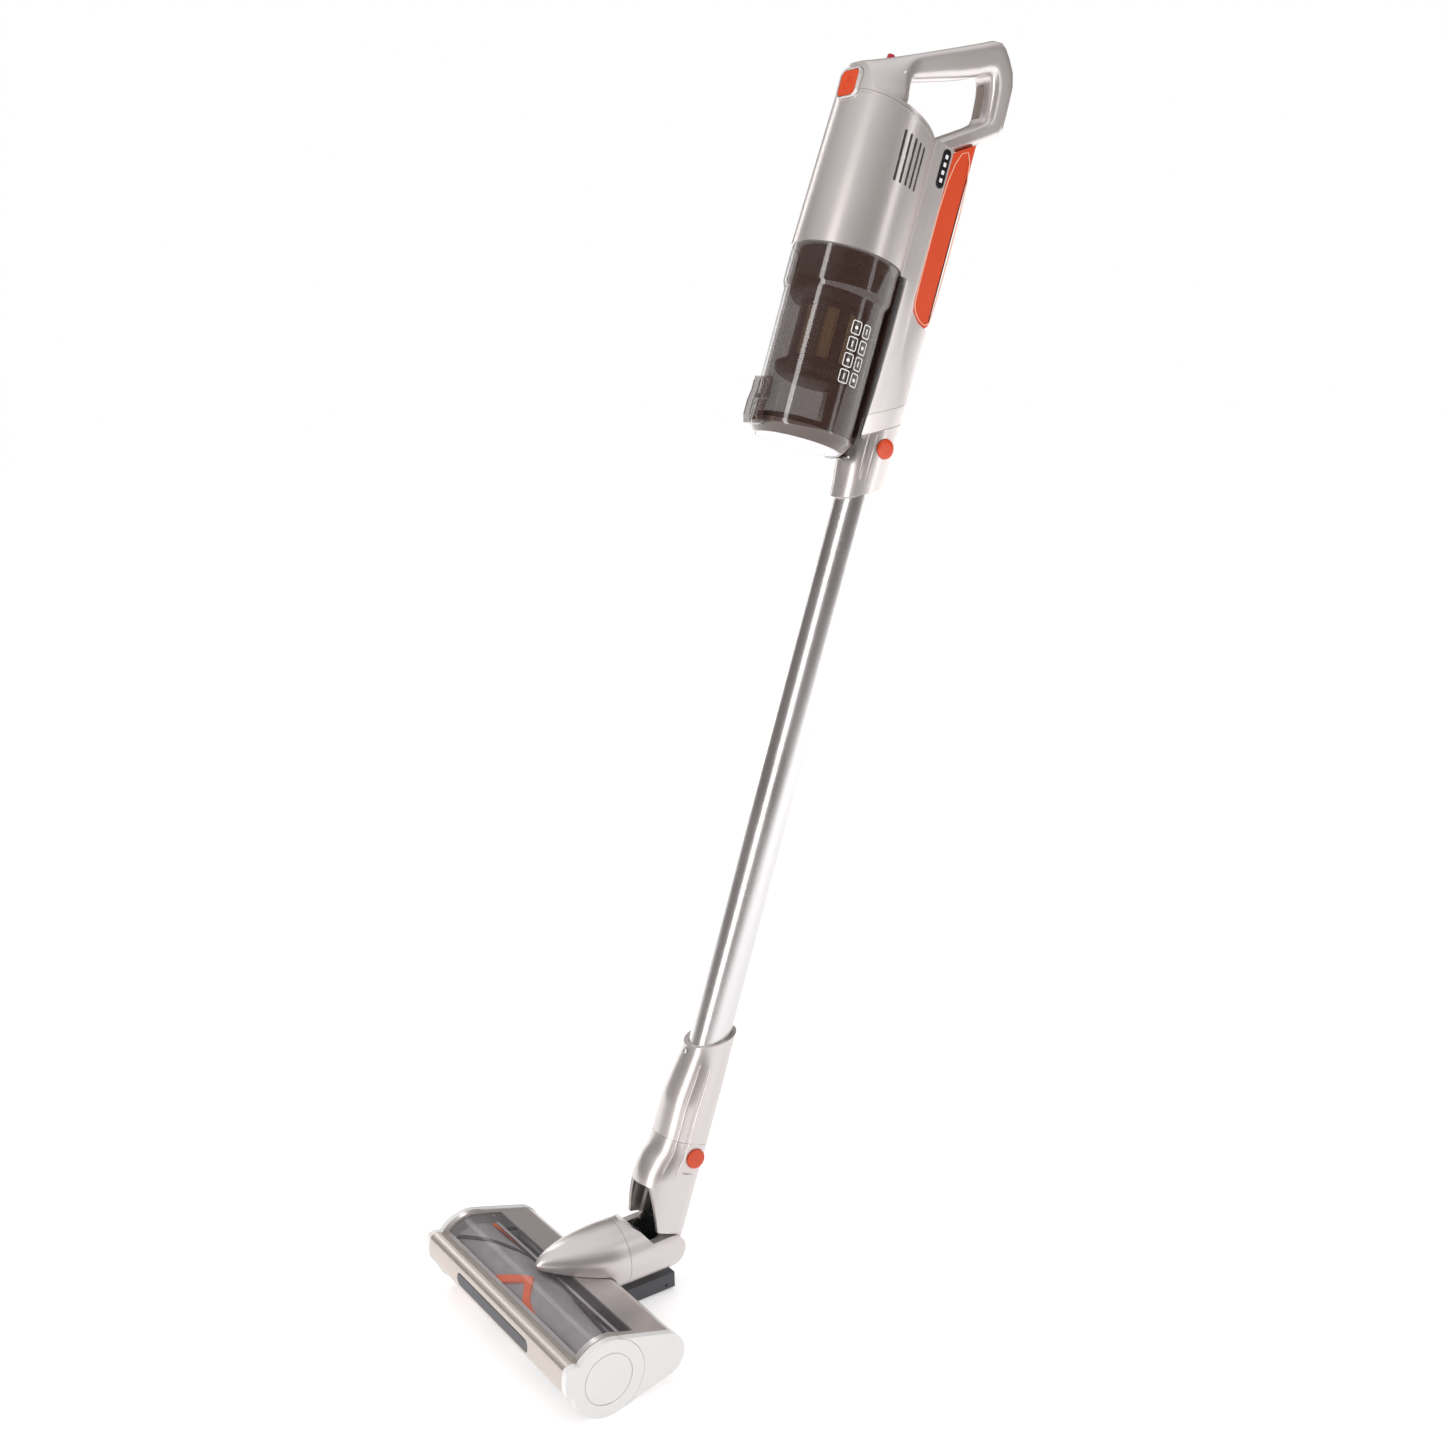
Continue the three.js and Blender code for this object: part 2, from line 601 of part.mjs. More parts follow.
function handleShell() {
  const roof = housingBody(0, 880, 1010).subtract(housingTop(3, 1));
  const loop = loft(GRIP_RINGS.map(gripRing));
  const front = box(-60, 60, -140, -80, 900, 1100);
  const trimmed = join(cut(loop, front), loop.intersect(housingBody(-0.05, 880, 1100)));
  const whole = join(roof, trimmed);
  const spineTop = box(-60, 60, -36, 40, 900, SPINE_TOP + CLEAR);
  const under = cut(whole, housingTop(CLEAR, -1), spineTop, batteryEnvelope(CLEAR));
  const stemRoom = cylinderY(3 + RUN, BUTTON_FRONT, BUTTON_FRONT + 12, 0, BUTTON_Z, SMALL_ROUND);
  return cut(
    under, buttonPocket(CLEAR), stemRoom, rearTrimSpace(CLEAR), boostHole(), innerStripSpace(CLEAR),
  );
}

const TRIM_FACE = 42.6; // the pale trim is let this deep into the rear post
const rearTrimSpace = (gap) => box(-8 - gap, 8 + gap, TRIM_FACE - gap, 60, 1002 - gap, 1041 + gap);
const TRIM_SINK = 0.5; // and its face lies this far under the handle's skin, so the handle takes the knocks
const handleRearTrim = () =>
  rearTrimSpace(0).intersect(loft(GRIP_RINGS.map(gripRing)).translate([0, -TRIM_SINK, 0]));

const STRIP_REAR = 26.5; // depth of the dark strip on the inside of the rear post
const innerStripSpace = (gap) => box(-10 - gap, gap, 10, STRIP_REAR + gap, 1004 - gap, 1031 + gap);
const gripInnerStrip = () => innerStripSpace(0).intersect(loft(GRIP_RINGS.map(gripRing)));

const boostHole = () => cylinderZ(BOOST_R + RUN / 2, BOOST_Z - 6, 1100, BOOST_Y, 0, SMALL_ROUND);
const boostButton = () => cylinderZ(BOOST_R, BOOST_Z - 4, BOOST_Z + 3.5, BOOST_Y, 0, SMALL_ROUND);

// ---------------------------------------------------------------- motor, impeller and filters
function suctionMotor() {
  const can = cylinderZ(MOTOR_R, MOTOR_LOW, MOTOR_HIGH, CUP_Y);
  const end = cylinderZ(MOTOR_R - 12, MOTOR_HIGH - 1, MOTOR_HIGH + 8, CUP_Y, 0, SMALL_ROUND);
  return cut(join(can, end), cylinderZ(3.2, MOTOR_LOW - 1, MOTOR_LOW + 20, CUP_Y, 0, SMALL_ROUND));
}

const inHousing = (low, high) => housingBody(-HOUSING_WALL - CLEAR, low, high);
const motorMount = () => cut(
  inHousing(MOUNT_Z, MOUNT_Z + MOUNT_THICK),
  cylinderZ(MOTOR_R + CLEAR, MOUNT_Z - 5, MOUNT_Z + MOUNT_THICK + 5, CUP_Y),
);

const BLADES = 9;
function impeller() {
  const plate = cylinderZ(IMPELLER_R, MOTOR_LOW - 4, MOTOR_LOW - 2, CUP_Y);
  const hub = cylinderZ(7, IMPELLER_LOW, MOTOR_LOW - 2, CUP_Y, 0, SMALL_ROUND);
  const shaft = cylinderZ(2.8, MOTOR_LOW - 3, MOTOR_LOW + 15, CUP_Y, 0, SMALL_ROUND);
  const blades = [];
  for (let i = 0; i < BLADES; i += 1) {
    const blade = new THREE.BoxGeometry(IMPELLER_R - 6, 1.2, MOTOR_LOW - 3 - IMPELLER_LOW);
    blade.translate(IMPELLER_R / 2 + 2.5, 0, 0).rotateZ((2 * Math.PI * i) / BLADES);
    blades.push(solid(blade.translate(0, CUP_Y, (MOTOR_LOW - 3 + IMPELLER_LOW) / 2)));
  }
  return join(plate, hub, shaft, ...blades);
}

const preMotorFilter = () => inHousing(HOUSING_LOW + 1, HOUSING_LOW + 11);
const controlBoard = () => box(-17, 17, -104, -102, 935, 959);

const NOTCHES = 8;
function filterRing() {
  const ring = turned([
    [CORE_INNER, RING_LOW], [FILTER_RING_R - 4, RING_LOW], [FILTER_RING_R, RING_LOW + 5],
    [FILTER_RING_R, HOUSING_LOW], [CORE_INNER, HOUSING_LOW],
  ], CUP_Y);
  const notches = [];
  for (let i = 0; i < NOTCHES; i += 1) {
    const notch = new THREE.BoxGeometry(8, 7, 9).translate(FILTER_RING_R, 0, HOUSING_LOW - 14);
    notch.rotateZ((2 * Math.PI * (i + 0.5)) / NOTCHES).translate(0, CUP_Y, 0);
    notches.push(solid(notch));
  }
  return cut(ring, ...notches);
}

const CAGE_RIBS = 8;
function filterCage() {
  const tube = turned([
    [FILTER_CORE_R - 3, CORE_LOW], [FILTER_CORE_R, CORE_LOW], [FILTER_CORE_R, RING_LOW - CLEAR],
    [FILTER_CORE_R - 3, RING_LOW - CLEAR],
  ], CUP_Y);
  const windows = [];
  for (let i = 0; i < CAGE_RIBS; i += 1) {
    const pane = new THREE.BoxGeometry(14, 11, RING_LOW - CORE_LOW - 8).translate(FILTER_CORE_R, 0, 0);
    pane.rotateZ((2 * Math.PI * i) / CAGE_RIBS + rad(10)).translate(0, CUP_Y, (RING_LOW + CORE_LOW) / 2);
    windows.push(solid(pane));
  }
  return cut(tube, ...windows);
}

const MESH_R = FILTER_CORE_R - 3 - CLEAR;
const filterMesh = () => turned([
  [MESH_R - 1.2, CORE_LOW], [MESH_R, CORE_LOW],
  [MESH_R, RING_LOW - CLEAR], [MESH_R - 1.2, RING_LOW - CLEAR],
], CUP_Y);

const cycloneSkirt = () => turned([
  [0, 736], [FILTER_CORE_R - 2, 736], [SKIRT_R - 1, 741], [SKIRT_R, 746], [SKIRT_R - 4, CORE_LOW - CLEAR],
  [0, CORE_LOW - CLEAR],
], CUP_Y);

// ---------------------------------------------------------------- dust cup, lid and latch
const LATCH_FACE = CUP_Y - CUP_R;
const CUP_TOP = HOUSING_LOW - CLEAR;
const CUP_BACK = BACK_PLATE_FRONT - CLEAR; // rear face of the rails along the cup

function dustCup() {
  const inner = CUP_R - CUP_WALL;
  const bandInner = CUP_BAND_R - CUP_WALL;
  const jar = turned([
    [inner, LID_TOP + CLEAR], [CUP_R, LID_TOP + CLEAR], [CUP_R, CUP_BAND_LOW - 4],
    [CUP_BAND_R, CUP_BAND_LOW + 2], [CUP_BAND_R, CUP_TOP], [bandInner, CUP_TOP],
    [bandInner, CUP_BAND_LOW + 3], [inner, CUP_BAND_LOW - 3],
  ], CUP_Y);
  const hollow = cylinderZ(CUP_R - 0.5, 600, 900, CUP_Y);
  const plate = box(-RAIL_HALF, RAIL_HALF, CUP_BACK - 2.4, CUP_BACK, LID_TOP + CLEAR, CUP_TOP - 2.6);
  const rail = cut(plate, hollow);
  const ears = [-1, 1].map((side) => {
    const x0 = Math.min(side * 9, side * 15);
    const x1 = Math.max(side * 9, side * 15);
    return join(
      cut(box(x0, x1, HINGE_Y - 6, HINGE_Y + 2.4, LID_TOP + CLEAR, LID_TOP + 7), hollow),
      box(x0, x1, HINGE_Y - 2.4, HINGE_Y + 2.4, HINGE_Z, LID_TOP + 6),
      cylinderX(2.7, x0, x1, HINGE_Y, HINGE_Z, SMALL_ROUND),
    );
  });
  const ledge = box(-9, 9, LATCH_FACE - 3, LATCH_FACE + 1, LATCH_Z - 2, LATCH_Z + 2);
  const bore = cylinderX(LID_PIN_R, -20, 20, HINGE_Y, HINGE_Z, SMALL_ROUND);
  return cut(join(jar, rail, ...ears, ledge), port(0), bore);
}

const lidHingePin = () => cylinderX(LID_PIN_R - 0.15, -14.8, 14.8, HINGE_Y, HINGE_Z, SMALL_ROUND);

function cupLid() {
  const low = LID_TOP - LID_THICK;
  const dish = turned([
    [0, low + LID_DISC_THICK + CLEAR], [LID_DISC_R + CLEAR, low + LID_DISC_THICK + CLEAR],
    [LID_DISC_R + CLEAR, low], [LID_DISC_R + 1.5, low], [CUP_R - 0.3, low + 7.5],
    [CUP_R, LID_TOP], [CUP_R - 4, LID_TOP], [CUP_R - 5, low + 6.5], [0, low + 6.5],
  ], CUP_Y);
  const tab = join(
    box(-8, 8, CUP_Y + CUP_R - 3, HINGE_Y, HINGE_Z - 2.5, HINGE_Z + 2.5),
    cylinderX(2.9, -8, 8, HINGE_Y, HINGE_Z, SMALL_ROUND),
  );
  const room = cylinderZ(CUP_R - 4.5, 600, 800, CUP_Y);
  const bore = cylinderX(LID_PIN_R, -20, 20, HINGE_Y, HINGE_Z, SMALL_ROUND);
  return cut(join(dish, cut(tab, room)), bore);
}

const lidDisc = () => cylinderZ(LID_DISC_R, LID_TOP - LID_THICK, LID_TOP - LID_THICK + LID_DISC_THICK, CUP_Y);

const GASKET_OUT = CUP_R - CUP_WALL - 1.4;
const lidGasket = () => turned([
  [GASKET_OUT - 5, LID_TOP - 4.7], [GASKET_OUT - 2.6, LID_TOP - 4.7], [GASKET_OUT - 2.6, LID_TOP - 1],
  [GASKET_OUT, LID_TOP + 1],
  [GASKET_OUT, LID_TOP + 5], [GASKET_OUT - 5, LID_TOP + 5],
], CUP_Y);

function cupLatch() {
  const outline = [
    [LATCH_FACE - 4, LATCH_Z + 15], [LATCH_FACE - 7.5, LATCH_Z + 15], [LATCH_FACE - 7.5, LATCH_Z + 2],
    [LATCH_FACE - 9, LATCH_Z - 6], [LATCH_FACE - 9, LATCH_Z - 18], [LATCH_FACE - 7, LATCH_Z - 24],
    [LATCH_FACE - 1, LATCH_Z - 24], [LATCH_FACE - 1, LATCH_Z - 22], [LATCH_FACE - 5, LATCH_Z - 20.5],
    [LATCH_FACE - 5, LATCH_Z - 4], [LATCH_FACE - 3.6, LATCH_Z - 2.6], [LATCH_FACE - 3.6, LATCH_Z + 2.6],
  ];
  const plate = sideways(outline, -LATCH_HALF, LATCH_HALF);
  const ribs = [-8, 0, 8].map((x) => sideways([
    [LATCH_FACE - 7, LATCH_Z + 13], [LATCH_FACE - 9, LATCH_Z + 11], [LATCH_FACE - 9, LATCH_Z + 3],
    [LATCH_FACE - 10.5, LATCH_Z - 6], [LATCH_FACE - 10.5, LATCH_Z - 18], [LATCH_FACE - 8, LATCH_Z - 22],
  ], x - 1.3, x + 1.3));
  return join(plate, ...ribs);
}

// ---------------------------------------------------------------- neck
const neck = new THREE.Group();
neck.position.set(0, 0, PIVOT_HEIGHT);
group.add(neck);

const YOKE_SIDE = [
  [SEAM_Y + CLEAR, -30], [-1, -30], [6.5, -21], [10, -9], [11.2, -3], [11.5, 0], [10.6, 4.4], [8.1, 8.1],
  [4.4, 10.6], [0, 11.4], [-6, 11.4], [-19.4, 11], [-27.4, 21.5], [-39, 30], [SEAM_Y + CLEAR, 30],
];
const SLEEVE_R = NECK_R - 3.4;

function neckYoke() {
  const barrel = cylinderY(NECK_R, SEAM_Y + CLEAR, 40, 0, 0, ROUND);
  const side = sideways(YOKE_SIDE, -40, 40);
  const slot = box(-CHEEK_IN, CHEEK_IN, SLOT_FRONT, 40, SLOT_FLOOR, 60);
  const bore = cylinderY(NECK_BORE, SEAM_Y - 20, 0, 0, 0);
  const pinEnd = NECK_R - 3.7; // blind, so that the cheeks are smooth outside
  const pins = cylinderX(PIN_R, -pinEnd, pinEnd, 0, 0, SMALL_ROUND);
  const sleeve = cylinderY(SLEEVE_R, SEAM_Y - 12, SEAM_Y + 2, 0, 0, ROUND);
  return cut(join(barrel.intersect(side), sleeve), slot, bore, pins);
}

function hingePin(side) {
  const inner = side * (EAR_OUT - EAR_THICK + 0.2);
  const outer = side * (NECK_R - 4);
  return cylinderX(PIN_R - 0.1, Math.min(inner, outer), Math.max(inner, outer), 0, 0, SMALL_ROUND);
}

// The hose runs along the neck, turns through the hinge and up the wand axis
function hose() {
  const up = v3(0, Math.sin(rad(LEAN)), Math.cos(rad(LEAN)));
  const path = new THREE.CurvePath();
  path.add(new THREE.LineCurve3(v3(0, -HOSE_STRAIGHT, 0), v3(0, -HOSE_TURN, 0)));
  path.add(new THREE.QuadraticBezierCurve3(
    v3(0, -HOSE_TURN, 0), v3(0, 0, 0), up.clone().multiplyScalar(HOSE_TURN),
  ));
  path.add(new THREE.LineCurve3(up.clone().multiplyScalar(HOSE_TURN), up.clone().multiplyScalar(58)));
  const ring = new THREE.Shape();
  ring.absarc(0, 0, HOSE_R, 0, 2 * Math.PI);
  const hole = new THREE.Path();
  hole.absarc(0, 0, HOSE_R - HOSE_WALL, 0, 2 * Math.PI, true);
  ring.holes.push(hole);
  const settings = { steps: 12, curveSegments: 5, extrudePath: path, bevelEnabled: false };
  return positive(new THREE.ExtrudeGeometry(ring, settings));
}

// ---------------------------------------------------------------- floor head
const head = new THREE.Group();
group.add(head);

// Side view of the head: the brush circle and the smaller rear lobe joined by tangents
function headOutline(bigR, smallR) {
  const along = LOBE_Y - BRUSH_Y;
  const rise = LOBE_Z - CAP_R;
  const reach = Math.hypot(along, rise);
  const tilt = Math.atan2(rise, along);
  const spread = Math.acos((bigR - smallR) / reach);
  const shape = new THREE.Shape();
  shape.absarc(BRUSH_Y, CAP_R, bigR, tilt + spread, tilt - spread + 2 * Math.PI, false);
  shape.absarc(LOBE_Y, LOBE_Z, smallR, tilt - spread, tilt + spread, false);
  return shape;
}
const headSide = (bigR, smallR, x0, x1) => sideways(headOutline(bigR, smallR), x0, x1, 13);

// Nose of the neck: rounds [y, radius, height of centre above the hinge]
const NOSE = [
  [SEAM_Y, NECK_R, 0], [-52, 28.4, 0.4], [-62, 27.4, 1.2], [-73, 25.3, 2.8], [-84, 22, 5],
  [-94, 18, 7.6], [-103, 13.4, 10.2], [-110, 9, 12.2], [-115, 5, 13.6], [-117.6, 1.8, 14.3],
];
function nose(inset) {
  return loft(NOSE.map(([y, r, rise]) => {
    const radius = Math.max(r - inset, 0.8);
    return Array.from({ length: ROUND }, (_, k) => {
      const angle = (2 * Math.PI * k) / ROUND;
      return v3(radius * Math.cos(angle), y, PIVOT_HEIGHT + rise + radius * Math.sin(angle));
    });
  }));
}

const SHELL_HALF = HEAD_HALF - CAP_THICK - CLEAR;
const sleeveSpace = cylinderY(SLEEVE_R + RUN, SEAM_Y - 13, SEAM_Y + 5, 0, PIVOT_HEIGHT, ROUND);

function neckNose() {
  const airway = nose(NOSE_WALL).intersect(box(-40, 40, -112, SEAM_Y - 13, 0, 100));
  return cut(nose(0), airway, sleeveSpace, headSide(SHELL_R + CLEAR, LOBE_R, -100, 100));
}

const windowBox = (gap) =>
  box(-WINDOW_HALF - gap, WINDOW_HALF + gap, -160, WINDOW_REAR_Y + gap, WINDOW_FRONT_Z - gap, 100);

function headShell() {
  const outer = headSide(SHELL_R, LOBE_R - 0.6, -SHELL_HALF, SHELL_HALF);
  const bands = [-1, 1].map((side) => {
    const x0 = Math.min(side * (WINDOW_HALF + 0.6), side * SHELL_HALF);
    const x1 = Math.max(side * (WINDOW_HALF + 0.6), side * SHELL_HALF);
    const lower = box(-130, 130, -200, 0, -10, WINDOW_FRONT_Z + 1);
    return cut(cylinderX(CAP_R + 0.6, x0, x1, BRUSH_Y, CAP_R), lower);
  });
  const inner = headSide(SHELL_R - SHELL_WALL, LOBE_R - 0.6 - SHELL_WALL, -SHELL_HALF - 1, SHELL_HALF + 1);
  const tunnelWall = cut(
    cylinderX(TUNNEL_R + 1.6, PULLEY_X + PULLEY_WIDTH + 4, SHELL_HALF, BRUSH_Y, CAP_R),
    cylinderX(TUNNEL_R, -130, 130, BRUSH_Y, CAP_R),
    box(-130, 130, -200, BRUSH_Y + 8, -10, 100),
    cut(box(-130, 130, -200, 0, -10, 100), headSide(SHELL_R - 1, LOBE_R, -130, 130)),
  );
  const mouth = join(
    box(-SHELL_HALF - 1, SHELL_HALF + 1, -200, -102, -10, 10),
    box(-SHELL_HALF - 1, SHELL_HALF + 1, -200, -136, -10, 29),
  );
  const airway = box(-17, 17, -100, -60, 24, 44);
  return cut(
    join(cut(join(outer, ...bands), inner), tunnelWall),
    mouth, windowBox(0), cut(nose(NOSE_WALL), below(38)), airway, sleeveSpace, bracketSpace,
  );
}

function headWindow() {
  const skin = cut(
    headSide(SHELL_R, LOBE_R - 0.6, -WINDOW_HALF + CLEAR, WINDOW_HALF - CLEAR),
    headSide(SHELL_R - SHELL_WALL + 0.4, LOBE_R - SHELL_WALL - 0.2, -130, 130),
  );
  return cut(skin.intersect(windowBox(-CLEAR)), nose(NOSE_WALL));
}

const BUMPER_SIDE = [
  [-161, 32], [-160.4, 49], [-158, 54], [-146, 54], [-146, 30], [-156, 27.5],
];
function bumperBar(x0, x1, radius) {
  return cut(sideways(BUMPER_SIDE, x0, x1), cylinderX(radius, -200, 200, BRUSH_Y, CAP_R));
}
const stripSide = (gap, depth) => {
  const strip = roundedRect(0, 41, STRIP_HALF + gap, 5.5 + gap, 5 + gap);
  return forwards(strip, -161.5, -160.9 + depth + gap);
};
const frontBumper = () => cut(bumperBar(-SHELL_HALF, SHELL_HALF, SHELL_R + CLEAR), stripSide(CLEAR, 1.4));
const bumperStrip = () => stripSide(0, 1.4).intersect(box(-90, 90, -161, -150, 20, 60));

function sideCover(side) {
  const x0 = side > 0 ? HEAD_HALF - CAP_THICK : -HEAD_HALF;
  const lobe = headSide(CAP_R, LOBE_R, x0, x0 + CAP_THICK);
  return cut(lobe, cylinderX(CAP_R + CLEAR, -200, 200, BRUSH_Y, CAP_R));
}

function endCap(side) {
  const x0 = side > 0 ? HEAD_HALF - CAP_THICK : -HEAD_HALF;
  const face = side * HEAD_HALF;
  const disc = cylinderX(CAP_R, x0, x0 + CAP_THICK, BRUSH_Y, CAP_R);
  const lug = bumperBar(x0, x0 + CAP_THICK, CAP_R - 2);
  const groove = cut(
    cylinderX(CAP_GROOVE_R + 0.8, face - 0.9, face + 0.9, BRUSH_Y, CAP_R),
    cylinderX(CAP_GROOVE_R, face - 2, face + 2, BRUSH_Y, CAP_R),
  );
  const ends = [side * 100, side * (HEAD_HALF - 3.5)];
  const bore = cylinderX(AXLE_R + RUN, Math.min(...ends), Math.max(...ends), BRUSH_Y, CAP_R, SMALL_ROUND);
  return cut(join(disc, lug), groove, bore);
}

// ---------------------------------------------------------------- brush and its drive
const BRUSH_LEFT = PULLEY_X + PULLEY_WIDTH + 2;

function brushCore() {
  const core = cylinderX(CORE_R, BRUSH_LEFT, BRUSH_HALF + 6, BRUSH_Y, CAP_R);
  const axle = cylinderX(AXLE_R, -HEAD_HALF + 4, HEAD_HALF - 4, BRUSH_Y, CAP_R, SMALL_ROUND);
  const pulley = cylinderX(PULLEY_LARGE_R, PULLEY_X, PULLEY_X + PULLEY_WIDTH, BRUSH_Y, CAP_R);
  return join(core, axle, pulley);
}

function brushSleeve() {
  const sleeve = cylinderX(BRUSH_R, BRUSH_LEFT + 1, BRUSH_HALF + 5, BRUSH_Y, CAP_R);
  return cut(sleeve, cylinderX(CORE_R + CLEAR, -130, 130, BRUSH_Y, CAP_R));
}

const driveMotor = () => cylinderX(DRIVE_R, -96, -44, DRIVE_Y, DRIVE_Z);
const motorPulley = () => join(
  cylinderX(PULLEY_SMALL_R, PULLEY_X, PULLEY_X + PULLEY_WIDTH, DRIVE_Y, DRIVE_Z, SMALL_ROUND),
  cylinderX(1.6, PULLEY_X, -96.5, DRIVE_Y, DRIVE_Z, SMALL_ROUND),
);

function driveBelt() {
  const loop = (grow) => {
    const along = DRIVE_Y - BRUSH_Y;
    const rise = DRIVE_Z - CAP_R;
    const tilt = Math.atan2(rise, along);
    const big = PULLEY_LARGE_R + grow;
    const small = PULLEY_SMALL_R + grow;
    const spread = Math.acos((big - small) / Math.hypot(along, rise));
    const shape = new THREE.Shape();
    shape.absarc(BRUSH_Y, CAP_R, big, tilt + spread, tilt - spread + 2 * Math.PI, false);
    shape.absarc(DRIVE_Y, DRIVE_Z, small, tilt - spread, tilt + spread, false);
    return shape;
  };
  const outer = sideways(loop(1.7), PULLEY_X + 0.6, PULLEY_X + PULLEY_WIDTH - 0.6, 14);
  return cut(outer, sideways(loop(CLEAR), PULLEY_X - 5, PULLEY_X + PULLEY_WIDTH + 5, 14));
}

// ---------------------------------------------------------------- rear support
const BRACKET_SIDE = [
  [-72, 6], [-72, 10.5], [-56, 12.5], [-52, BRACKET_TOP], [12, BRACKET_TOP], [12, 2], [-40, 2],
];
const bracketSpace = sideways(BRACKET_SIDE, -BRACKET_HALF - CLEAR, BRACKET_HALF + CLEAR);

function rearSupport() {
  const bar = sideways(BRACKET_SIDE, -BRACKET_HALF, BRACKET_HALF);
  const fork = box(-WHEEL_HALF - RUN, WHEEL_HALF + RUN, REAR_WHEEL_Y - 8, REAR_WHEEL_Y + 8, -1, 13);
  const bore = cylinderX(1.6, -20, 20, REAR_WHEEL_Y, REAR_WHEEL_R, SMALL_ROUND);
  return cut(bar, fork, bore, headSide(SHELL_R + CLEAR, LOBE_R - 0.3, -100, 100));
}

const rearWheel = () => join(
  cylinderX(REAR_WHEEL_R, -WHEEL_HALF, WHEEL_HALF, REAR_WHEEL_Y, REAR_WHEEL_R, SMALL_ROUND),
  cylinderX(1.5, -BRACKET_HALF + 0.5, BRACKET_HALF - 0.5, REAR_WHEEL_Y, REAR_WHEEL_R, SMALL_ROUND),
);

// ---------------------------------------------------------------- assembly
add(wand, 'wand_tube', wandTube(), 0xc8c6c6, 0.3, 0.9);
add(wand, 'lower_connector', lowerConnector(), SILVER, 0.35, 0.5);
add(wand, 'lower_collar', lowerCollar(), SILVER, 0.35, 0.5);
add(wand, 'connector_screw', connectorScrew(), 0xb0b0b2, 0.3, 1);
add(wand, 'lower_release_button', releaseButton(LOWER_RELEASE_Z, 25.4), ORANGE);
add(hand, 'upper_connector', upperConnector(), SILVER, 0.35, 0.5);
add(hand, 'upper_release_button', releaseButton(UPPER_RELEASE_Z, 24.4), ORANGE);
add(hand, 'inlet_collar', inletCollar(), SILVER, 0.35, 0.5);
add(hand, 'spine_shell', spineShell(), SILVER, 0.35, 0.5);
add(hand, 'cup_back_plate', cupBackPlate(), BLACK);
add(hand, 'charge_indicator', indicatorSide(0, 1.5), BLACK, 0.2);
add(hand, 'battery_case', batteryCase(), ORANGE);
add(hand, 'battery_cover', batteryCover(), BLACK);
[[-9.4, 5.4], [9.4, 5.4], [0, -10.7]].forEach(([x, y], i) => {
  const low = INNER_LOW + 2.4;
  const top = Math.min(low + CELL_STACK, INNER_HIGH - 1.8);
  add(hand, `cell_stack_${i + 1}`, cylinderZ(CELL_R, low, top, y, x, SMALL_ROUND), 0x6fae6a, 0.4);
});
add(hand, 'motor_housing', motorHousing(), SILVER, 0.35, 0.5);
add(hand, 'power_bezel', powerBezel(), SILVER, 0.3, 0.6);
add(hand, 'power_button', powerButton(), ORANGE);
add(hand, 'handle_shell', handleShell(), SILVER, 0.35, 0.5);
add(hand, 'handle_rear_trim', handleRearTrim(), 0xd8d2cc, 0.3, 0.5);
add(hand, 'grip_inner_strip', gripInnerStrip(), 0x7d6c62);
add(hand, 'boost_button', boostButton(), 0xb3202c);
add(hand, 'suction_motor', suctionMotor(), 0x8d8d92, 0.4, 0.8);
add(hand, 'motor_mount', motorMount(), BLACK, 0.9);
add(hand, 'impeller', impeller(), 0x3a3a3c);
add(hand, 'pre_motor_filter', preMotorFilter(), 0xe9e6df, 0.9);
add(hand, 'control_board', controlBoard(), 0x1d6b3a);
add(hand, 'filter_ring', filterRing(), BLACK);
add(hand, 'filter_cage', filterCage(), 0x2a2524);
add(hand, 'filter_mesh', filterMesh(), 0xc9a77c);
add(hand, 'cyclone_skirt', cycloneSkirt(), BLACK);
add(hand, 'dust_cup', dustCup(), 0x5a463e, 0.1);
add(hand, 'lid_hinge_pin', lidHingePin(), 0x9a9a9c, 0.3, 1);
add(hand, 'cup_lid', cupLid(), 0x4a3b36, 0.15);
add(hand, 'lid_disc', lidDisc(), 0xd9d6e0);
add(hand, 'lid_gasket', lidGasket(), BLACK, 0.9);
add(hand, 'cup_latch', cupLatch(), 0x5a463e, 0.1);

add(neck, 'neck_yoke', neckYoke(), SILVER, 0.35, 0.5);
add(neck, 'hinge_pin_left', hingePin(-1), 0x9a9a9c, 0.3, 1);
add(neck, 'hinge_pin_right', hingePin(1), 0x9a9a9c, 0.3, 1);
add(neck, 'neck_hose', hose(), BLACK, 0.6);

add(head, 'neck_nose', neckNose(), SILVER, 0.35, 0.5);
add(head, 'head_shell', headShell(), SILVER, 0.35, 0.5);
add(head, 'head_window', headWindow(), 0x5a5560, 0.1);
add(head, 'front_bumper', frontBumper(), 0xb5a698, 0.35, 0.5);
add(head, 'bumper_strip', bumperStrip(), 0x4a4a4c);
for (const [name, side] of [['left', -1], ['right', 1]]) {
  add(head, `side_cover_${name}`, sideCover(side), 0xe6e5e4);
  add(head, `end_cap_${name}`, endCap(side), 0xe6e5e4);
}
add(head, 'rear_support', rearSupport(), 0x3b3b40);
add(head, 'rear_wheel', rearWheel(), BLACK);
add(head, 'brush_core', brushCore(), BLACK);
add(head, 'brush_sleeve', brushSleeve(), 0x8f8a8a, 0.95);
add(head, 'drive_motor', driveMotor(), 0x8d8d92, 0.4, 0.8);
add(head, 'motor_pulley', motorPulley(), 0xd8d8da);
add(head, 'drive_belt', driveBelt(), BLACK, 0.9);

// The origin is on the floor under the middle of the whole object
group.updateMatrixWorld(true);
const extent = new THREE.Box3().setFromObject(group, true);
group.position.y = -(extent.min.y + extent.max.y) / 2;

export default group;
